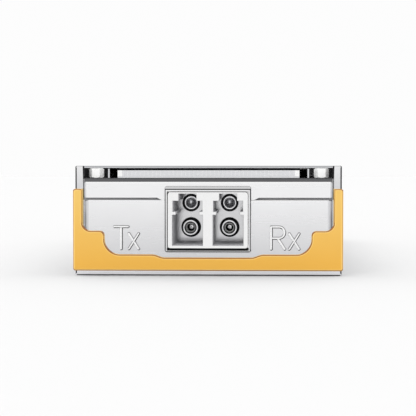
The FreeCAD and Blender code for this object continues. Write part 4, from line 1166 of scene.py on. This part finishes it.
@dataclass
class Receptacle:
    """The duplex receptacle with its barrels, sleeves, stubs and dished clamp pins."""

    edge_mm: float = 0.07
    front_y: float = -53.05
    port_x: float = 3.125
    ports_half: float = 6.0
    ports_z: tuple[float, float] = (4.4, 12.85)
    wall_turn: float = 0.5
    ferrule_z: float = 7.08
    pin_z: float = 11.06
    port_back_y: float = -41.65
    pin_rear_y: float = -37.45
    pin_radius: float = 1.02
    head_radius: float = 1.1
    head: float = 0.2
    dish_radius: float = 0.84
    dish: float = 0.32
    dish_curve: Outline = ((0.0, 1.0), (0.4, 0.85), (0.75, 0.46), (1.0, 0.0))
    barrel_y: float = -43.85
    barrel_rear_y: float = -36.05
    barrel_radius: float = 1.24
    mouth_radius: float = 0.96
    sleeve_y: float = -43.7
    sleeve_rear_y: float = -40.5
    sleeve_radius: float = 0.8
    bore_radius: float = 0.625
    stub_rear_y: float = -38.9
    stub_radius: float = 0.91
    tip_radius: float = 0.4
    tip_groove: float = 0.35
    fibre_radius: float = 0.09
    fibre_proud: float = 0.004
    fibre_steps: int = 24
    rim_mm: float = 0.06
    recess_radius: float = 1.4
    recess: float = 1.0
    hole_radius: float = 1.56
    seal_setback: float = 0.25

    def build(self) -> None:
        """Builds the receptacle and what sits in its ports, and dresses what holds it."""
        block = eased_copy("lc_receptacle", self.edge_mm)
        paint(block, 1, self.on_port_wall)
        # The seats at the back of the ports get painted shade.
        paint(block, 2, lambda middle, normal: abs(middle.y - self.port_back_y) < CLOSE)
        plates = [Finishes.RECEPTACLE, Finishes.PORT_WALL, Finishes.PORT_SEAT]
        finish_piece(block, "duplex_receptacle", plates, nodes=["lc_receptacle"])
        self.pins()
        self.seals()
        for side, x in (("transmit", -self.port_x), ("receive", self.port_x)):
            self.barrel(side, x)
            self.sleeve(side, x)
            self.stub(side, x)
        dress("receptacle_gasket", Finishes.GASKET)
        dress("optics_clamp", Finishes.STRIP_STEEL)

    def on_port_wall(self, middle: Vector, normal: Vector) -> bool:
        """Tells the walls of the ports.

        Args:
            middle: Middle of a face, in millimetres.
            normal: Which way it looks.

        Returns:
            Whether it is a wall inside a port.
        """
        inside = abs(middle.x) < self.ports_half and self.ports_z[0] < middle.z < self.ports_z[1]
        behind_rim = self.front_y + 2 * self.edge_mm < middle.y < self.port_back_y
        return inside and behind_rim and abs(normal.y) < self.wall_turn

    def rounded_turning(self, outlines: Sequence[tuple[float, float, Outline]]) -> BMesh:
        """Turns one or more outlines and rounds their rims.

        Args:
            outlines: For each part its axis X and Z, and its outline, in millimetres.

        Returns:
            The turned mesh.
        """
        work = bmesh.new()
        for x, z, outline in outlines:
            turned(work, x, z, outline)
        bmesh.ops.recalc_face_normals(work, faces=work.faces)
        round_edges(work, sharp_edges(work, SQUARE), self.rim_mm)
        return work

    def pins(self) -> None:
        """Builds the two pins whose dished ends show above the barrels."""
        front = self.port_back_y
        dish = [(self.dish_radius * out, front + self.dish * deep) for out, deep in self.dish_curve]
        outline = dish + [
            (self.head_radius, front),
            (self.head_radius, front + self.head),
            (self.pin_radius, front + self.head),
            (self.pin_radius, self.pin_rear_y),
            (0.0, self.pin_rear_y),
        ]
        work = self.rounded_turning([(x, self.pin_z, outline) for x in (-self.port_x, self.port_x)])
        dish_edge = self.dish_radius - self.rim_mm
        paint(work, 1, lambda middle, normal: self.from_axis(middle, self.pin_z) < dish_edge)
        steels = [Finishes.TURNED_STEEL, Finishes.DISHED_STEEL]
        finish_piece(work, "dished_pins", steels, nodes=["clamp_pins"])

    def from_axis(self, middle: Vector, z: float) -> float:
        """How far a point is from the nearer port's axis at a height, in millimetres."""
        return math.hypot(abs(middle.x) - self.port_x, middle.z - z)

    def seals(self) -> None:
        """Builds the elastomer rings that close the gaps round the pins and barrels; their dark also stands
        in for the shade in those gaps.
        """
        front = self.port_back_y + self.seal_setback
        rear = self.port_back_y + self.recess
        rings = []
        for z, inner, outer in (
            (self.pin_z, self.pin_radius, self.recess_radius),
            (self.ferrule_z, self.barrel_radius, self.hole_radius),
        ):
            outline = [(inner, front), (outer, front), (outer, rear), (inner, rear), (inner, front)]
            rings += [(x, z, outline) for x in (-self.port_x, self.port_x)]
        finish_piece(self.rounded_turning(rings), "port_seals", [Finishes.GASKET])

    def barrel(self, side: str, x: float) -> None:
        """Builds the barrel round one sleeve.

        Args:
            side: Transmit or receive.
            x: Place across the module, in millimetres.
        """
        outline = [
            (0.0, self.stub_rear_y),
            (self.mouth_radius, self.stub_rear_y),
            (self.mouth_radius, self.barrel_y),
            (self.barrel_radius, self.barrel_y),
            (self.barrel_radius, self.barrel_rear_y),
            (0.0, self.barrel_rear_y),
        ]
        axis_z = self.ferrule_z
        work = self.rounded_turning([(x, axis_z, outline)])
        inside = self.barrel_y + 2 * self.rim_mm
        mouth = self.mouth_radius + self.rim_mm
        # The bore gets painted shade.
        paint(work, 1, lambda middle, normal: middle.y > inside and self.from_axis(middle, axis_z) < mouth)
        steels = [Finishes.TURNED_STEEL, Finishes.BORE]
        finish_piece(work, side + "_turned_barrel", steels, nodes=[side + "_barrel"])

    def sleeve(self, side: str, x: float) -> None:
        """Builds the ceramic sleeve of one port.

        Args:
            side: Transmit or receive.
            x: Place across the module, in millimetres.
        """
        outline = [
            (self.bore_radius, self.sleeve_y),
            (self.sleeve_radius, self.sleeve_y),
            (self.sleeve_radius, self.sleeve_rear_y),
            (self.bore_radius, self.sleeve_rear_y),
            (self.bore_radius, self.sleeve_y),
        ]
        work = self.rounded_turning([(x, self.ferrule_z, outline)])
        finish_piece(
            work, side + "_ceramic_sleeve", [Finishes.ZIRCONIA], nodes=[side + "_sleeve"]
        )

    def stub(self, side: str, x: float) -> None:
        """Builds the polished stub at the end of one sleeve, with its fibre.

        Args:
            side: Transmit or receive.
            x: Place across the module, in millimetres.
        """
        front = self.sleeve_rear_y
        outline = [
            (0.0, front),
            (self.tip_radius, front),
            ((self.tip_radius + self.bore_radius) / 2, front + self.tip_groove),
            (self.bore_radius, front),
            (self.stub_radius, front),
            (self.stub_radius, self.stub_rear_y),
            (0.0, self.stub_rear_y),
        ]
        work = self.rounded_turning([(x, self.ferrule_z, outline)])
        near = front + self.tip_groove + self.rim_mm

        def within(radius: float) -> FaceTest:
            """Makes a test of whether a face is on the stub's front, within a radius."""
            return lambda middle, normal: middle.y < near and self.from_axis(middle, self.ferrule_z) < radius

        # The groove round the tip gets painted shade.
        paint(work, 1, within(self.bore_radius))
        paint(work, 2, within(self.tip_radius))
        ends = [Finishes.ZIRCONIA, Finishes.BORE, Finishes.TURNED_STEEL]
        finish_piece(work, side + "_polished_stub", ends, nodes=[side + "_stub"])
        core = bmesh.new()
        tip = front - self.fibre_proud
        outline = [(0, tip), (self.fibre_radius, tip), (self.fibre_radius, front), (0, front)]
        turned(core, x, self.ferrule_z, outline, self.fibre_steps)
        finish_piece(core, side + "_fibre_end", [Finishes.FIBRE])


@dataclass
class PullHandle:
    """The yellow handle, a plate with a waved inner edge, with the latch arms and their return springs."""

    front_y: float = -53.75
    plate: float = 1.1
    rear_y: float = -51.7
    outer_x: float = 20.75
    arm_x: float = 19.33
    low: float = 0.85
    high: float = 13.45
    shoulder_x: float = 15.93
    shoulder_z: float = 6.99
    sill_x: float = 8.225
    sill_z: float = 3.35
    dip_x: float = 6.925
    dip_z: float = 2.87
    corner: float = 0.35
    armpit_radius: float = 1.3
    shoulder_radius: float = 0.75
    sweep_radius: float = 2.4
    wave_radius: float = 2.2
    corner_steps: int = 10
    edge_mm: float = 0.3
    edge_steps: int = 5
    side_turn: float = 0.15
    upright: float = 0.05
    arm_edge_mm: float = 0.06
    hook_y: float = -14.0
    spring_x: float = 18.845
    spring_z: float = 7.2
    spring_front_y: float = -41.65
    spring_rear_y: float = -32.65
    spring_radius: float = 0.52
    wire_radius: float = 0.11
    wire_steps: int = 12
    spring_turns: int = 6
    turn_steps: int = 24

    def build(self) -> None:
        """Builds the handle, the latch arms, eased ahead of their hooks, and the springs."""
        self.handle()
        for side, sign in (("left", -1), ("right", 1)):
            node = "latch_arm_" + side
            strip = eased_copy(node, self.arm_edge_mm, lambda middle: middle.y < self.hook_y)
            finish_piece(strip, "latch_strip_" + side, [Finishes.STRIP_STEEL], PULLER, [node])
            self.spring(side, sign)

    def spring(self, side: str, sign: int) -> None:
        """Winds a return spring, which shortens as the handle is pulled.

        Args:
            side: Side of the module.
            sign: -1 on the left, where the coil is mirrored, and 1 on the right.
        """
        work = bmesh.new()
        x = sign * self.spring_x
        steps = self.spring_turns * self.turn_steps
        rise = self.spring_rear_y - self.spring_front_y - 2 * self.wire_radius
        first = x + sign * self.spring_radius
        start = Vector((first, self.spring_front_y + self.wire_radius, self.spring_z)) * MM
        ring = bmesh.ops.create_circle(
            work, segments=self.wire_steps, radius=self.wire_radius * MM, matrix=Matrix.Translation(start)
        )
        bmesh.ops.spin(
            work,
            geom=ring["verts"] + work.edges[:],
            cent=Vector((x, 0, self.spring_z)) * MM,
            axis=(0, 1, 0),
            dvec=Vector((0, rise / steps, 0)) * MM,
            angle=-sign * 2 * math.pi * self.spring_turns,
            steps=steps,
        )
        bmesh.ops.holes_fill(work, edges=[edge for edge in work.edges if edge.is_boundary], sides=0)
        node = "return_spring_" + side
        coil = finish_piece(work, "coil_" + side, [Finishes.SPRING], "", [node])
        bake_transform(coil)

    def corners(self) -> list[tuple[float, float, float]]:
        """Corners of the plate's outline, anticlockwise from the lower right.

        Returns:
            X, Z and rounding radius of each corner, in millimetres.
        """
        right = [
            (self.outer_x, self.low, self.corner),
            (self.outer_x, self.high, self.corner),
            (self.arm_x, self.high, 0.0),
            (self.arm_x, self.shoulder_z, self.armpit_radius),
            (self.shoulder_x, self.shoulder_z, self.shoulder_radius),
            (self.shoulder_x, self.sill_z, self.sweep_radius),
            (self.sill_x, self.sill_z, self.wave_radius),
            (self.dip_x, self.dip_z, self.wave_radius),
        ]
        return right + [(-x, z, radius) for x, z, radius in reversed(right)]

    def handle(self) -> None:
        """Builds the handle from its outline: rounded corners, then the plate, then the roots."""
        work = bmesh.new()
        corners = self.corners()
        verts = [work.verts.new(Vector((x, self.front_y, z)) * MM) for x, z, _ in corners]
        work.faces.new(verts)
        places = [vert.co.copy() for vert in verts]
        for index, (vert, (_, _, radius)) in enumerate(zip(verts, corners)):
            if not radius:
                continue
            before = places[index - 1] - places[index]
            after = places[(index + 1) % len(places)] - places[index]
            bmesh.ops.bevel(
                work,
                geom=[vert],
                offset=radius * MM / math.tan(before.angle(after) / 2),
                offset_type="OFFSET",
                affect="VERTICES",
                segments=self.corner_steps,
                profile=0.5,
                material=-1,
                clamp_overlap=False,
            )
        for side in (-1, 1):
            bmesh.ops.bisect_plane(
                work,
                geom=work.verts[:] + work.edges[:] + work.faces[:],
                dist=SAME_PLACE,
                plane_co=Vector((side * self.arm_x, 0, 0)) * MM,
                plane_no=(1, 0, 0),
            )
        self.thicken(work, work.faces[:], self.plate)
        back = self.front_y + self.plate
        middles = [(face, face.calc_center_median() / MM) for face in work.faces]
        roots = [
            face for face, middle in middles if abs(middle.y - back) < CLOSE and abs(middle.x) > self.arm_x
        ]
        self.thicken(work, roots, self.rear_y - back)
        bmesh.ops.recalc_face_normals(work, faces=work.faces)
        front = sharp_edges(work, SQUARE, lambda middle: abs(middle.y - self.front_y) < CLOSE)
        round_edges(work, front, self.edge_mm, self.edge_steps)
        # The upright sides get a copy of the coat painted lighter against the shade there.
        paint(work, 1, lambda middle, normal: abs(normal.x) > self.side_turn and abs(normal.z) < self.upright)
        coats = [Finishes.HANDLE, Finishes.HANDLE_SIDE]
        handle = finish_piece(work, "yellow_handle", coats, PULLER, ["pull_handle"])
        # The nose's sides and the floor stay grey beside the handle, so its yellow isn't thrown on them.
        handle.visible_glossy = False
        handle.visible_diffuse = False

    def thicken(self, work: BMesh, faces: Sequence[BMFace], depth: float) -> None:
        """Pushes faces back along the module.

        Args:
            work: Mesh that holds the faces.
            faces: Faces to push.
            depth: How far, in millimetres.
        """
        pushed = bmesh.ops.extrude_face_region(work, geom=list(faces))
        moved = [item for item in pushed["geom"] if isinstance(item, BMVert)]
        bmesh.ops.translate(work, vec=Vector((0, depth, 0)) * MM, verts=moved)


@dataclass
class Interior:
    """The optics packages, the board and what it carries, all inside the shells."""

    def build(self) -> None:
        """Dresses every inner node."""
        for side in ("transmit", "receive"):
            dress(side + "_optics", Finishes.GOLD)
            dress(side + "_lead", Finishes.FILM)
        for node in ("optics_pad", "processor_pad"):
            dress(node, Finishes.PAD)
        for node in ("processor_chip", "controller_chip", "power_inductors"):
            dress(node, Finishes.CHIP)
        dress("main_board", Finishes.BOARD)
        dress("supply_capacitors", Finishes.CAPACITOR)
        dress("clock_oscillator", Finishes.CAN)


@dataclass
class RearPlug:
    """The rear plug with its two rows of contacts."""

    edge_mm: float = 0.12

    def build(self) -> None:
        """Builds the eased plug body and dresses the contacts."""
        body = eased_copy("rear_plug", self.edge_mm)
        finish_piece(body, "plug_body", [Finishes.PLUG], nodes=["rear_plug"])
        dress("upper_contacts", Finishes.GOLD)
        dress("lower_contacts", Finishes.GOLD)


@dataclass
class Lamp:
    """A wide, far lamp with soft shadows.

    Its angles are in degrees: how far left of the front it stands, how high, and how wide it looks.
    """

    name: str
    from_left: float
    height: float
    strength: float
    spread: float

    def build(self) -> None:
        """Makes the lamp, which leaves the gloss of the metal to the surround."""
        data = bpy.data.lights.new(self.name, "SUN")
        data.energy = self.strength
        data.angle = math.radians(self.spread)
        lamp = bpy.data.objects.new(self.name, data)
        lamp.rotation_euler = (math.radians(90 - self.height), 0, math.radians(-self.from_left))
        lamp.visible_glossy = False
        bpy.context.scene.collection.objects.link(lamp)


@dataclass
class Studio:
    """A pale floor, a white surround, soft lamps and the camera."""

    surround: float = 0.98
    ambient: float = 0.7
    floor_m: float = 6.0
    floor_drop: float = 0.02
    floor_colour: str = "DEDEDE"
    camera_m: tuple[float, float, float] = (0.0077, -0.25375, 0.0165)
    camera_pitch: float = 1.708
    camera_yaw: float = 2.185
    lens: float = 113.1
    clip_start_m: float = 0.01

    def build(self) -> None:
        """Builds the surround, floor, lamps and camera."""
        bpy.context.scene.view_settings.view_transform = "Standard"
        self.world()
        self.floor()
        Lamp("key_lamp", from_left=15.0, height=50.0, strength=0.45, spread=40.0).build()
        Lamp("left_lamp", from_left=28.0, height=6.0, strength=0.5, spread=30.0).build()
        Lamp("right_lamp", from_left=-28.0, height=6.0, strength=0.5, spread=30.0).build()
        Lamp("rear_lamp", from_left=180.0, height=60.0, strength=1.8, spread=110.0).build()
        self.camera()

    def seen(self, tree: NodeTree) -> NodeSocket:
        """Tells rays that show the background from rays that carry its light.

        Args:
            tree: Node tree that takes the nodes.

        Returns:
            A socket that is 1 for camera, gloss and transmission rays.
        """
        path = add_node(tree, "ShaderNodeLightPath").outputs
        shown = greater(tree, path["Is Camera Ray"], path["Is Glossy Ray"])
        return greater(tree, shown, path["Is Transmission Ray"])

    def world(self) -> None:
        """Makes a white surround that lights the module at a plain level."""
        world = bpy.data.worlds.new("studio_surround")
        bpy.context.scene.world = world
        world.use_nodes = True
        tree = world.node_tree
        tree.nodes.remove(tree.nodes["Background"])
        light, white = (
            add_node(tree, "ShaderNodeBackground", {"Color": (1, 1, 1, 1), "Strength": strength}).outputs[0]
            for strength in (self.ambient, self.surround)
        )
        mix = add_node(tree, "ShaderNodeMixShader", links={0: self.seen(tree), 1: light, 2: white})
        tree.links.new(mix.outputs["Shader"], tree.nodes["World Output"].inputs["Surface"])

    def floor(self) -> None:
        """Makes the pale floor, which keeps the module's shadow."""
        work = bmesh.new()
        below = Matrix.Translation((0, 0, -self.floor_drop * MM))
        bmesh.ops.create_grid(work, x_segments=1, y_segments=1, size=self.floor_m / 2, matrix=below)
        mesh = bpy.data.meshes.new("studio_floor")
        work.to_mesh(mesh)
        work.free()
        material = bpy.data.materials.new("painted_floor_matt")
        material.use_nodes = True
        tree = material.node_tree
        tree.nodes.remove(tree.nodes["Principled BSDF"])
        matt = add_node(tree, "ShaderNodeBsdfDiffuse", {"Color": linear(self.floor_colour)})
        tree.links.new(matt.outputs["BSDF"], tree.nodes["Material Output"].inputs["Surface"])
        mesh.materials.append(material)
        floor = bpy.data.objects.new("studio_floor", mesh)
        bpy.context.scene.collection.objects.link(floor)

    def camera(self) -> None:
        """Sets the camera at the photograph's angle."""
        data = bpy.data.cameras.new("camera")
        data.lens = self.lens
        data.clip_start = self.clip_start_m
        camera = bpy.data.objects.new("camera", data)
        camera.location = self.camera_m
        camera.rotation_euler = (math.radians(90 - self.camera_pitch), 0, math.radians(self.camera_yaw))
        bpy.context.scene.collection.objects.link(camera)
        bpy.context.scene.camera = camera


def main() -> None:
    """Builds the module and its studio, in order."""
    logging.basicConfig(level=logging.INFO, format="%(message)s")
    for part in (Shells(), FinChannel(), Receptacle(), PullHandle(), Interior(), RearPlug(), Studio()):
        part.build()
        LOG.info("finished %s", type(part).__name__)


if __name__ == "__main__":
    main()
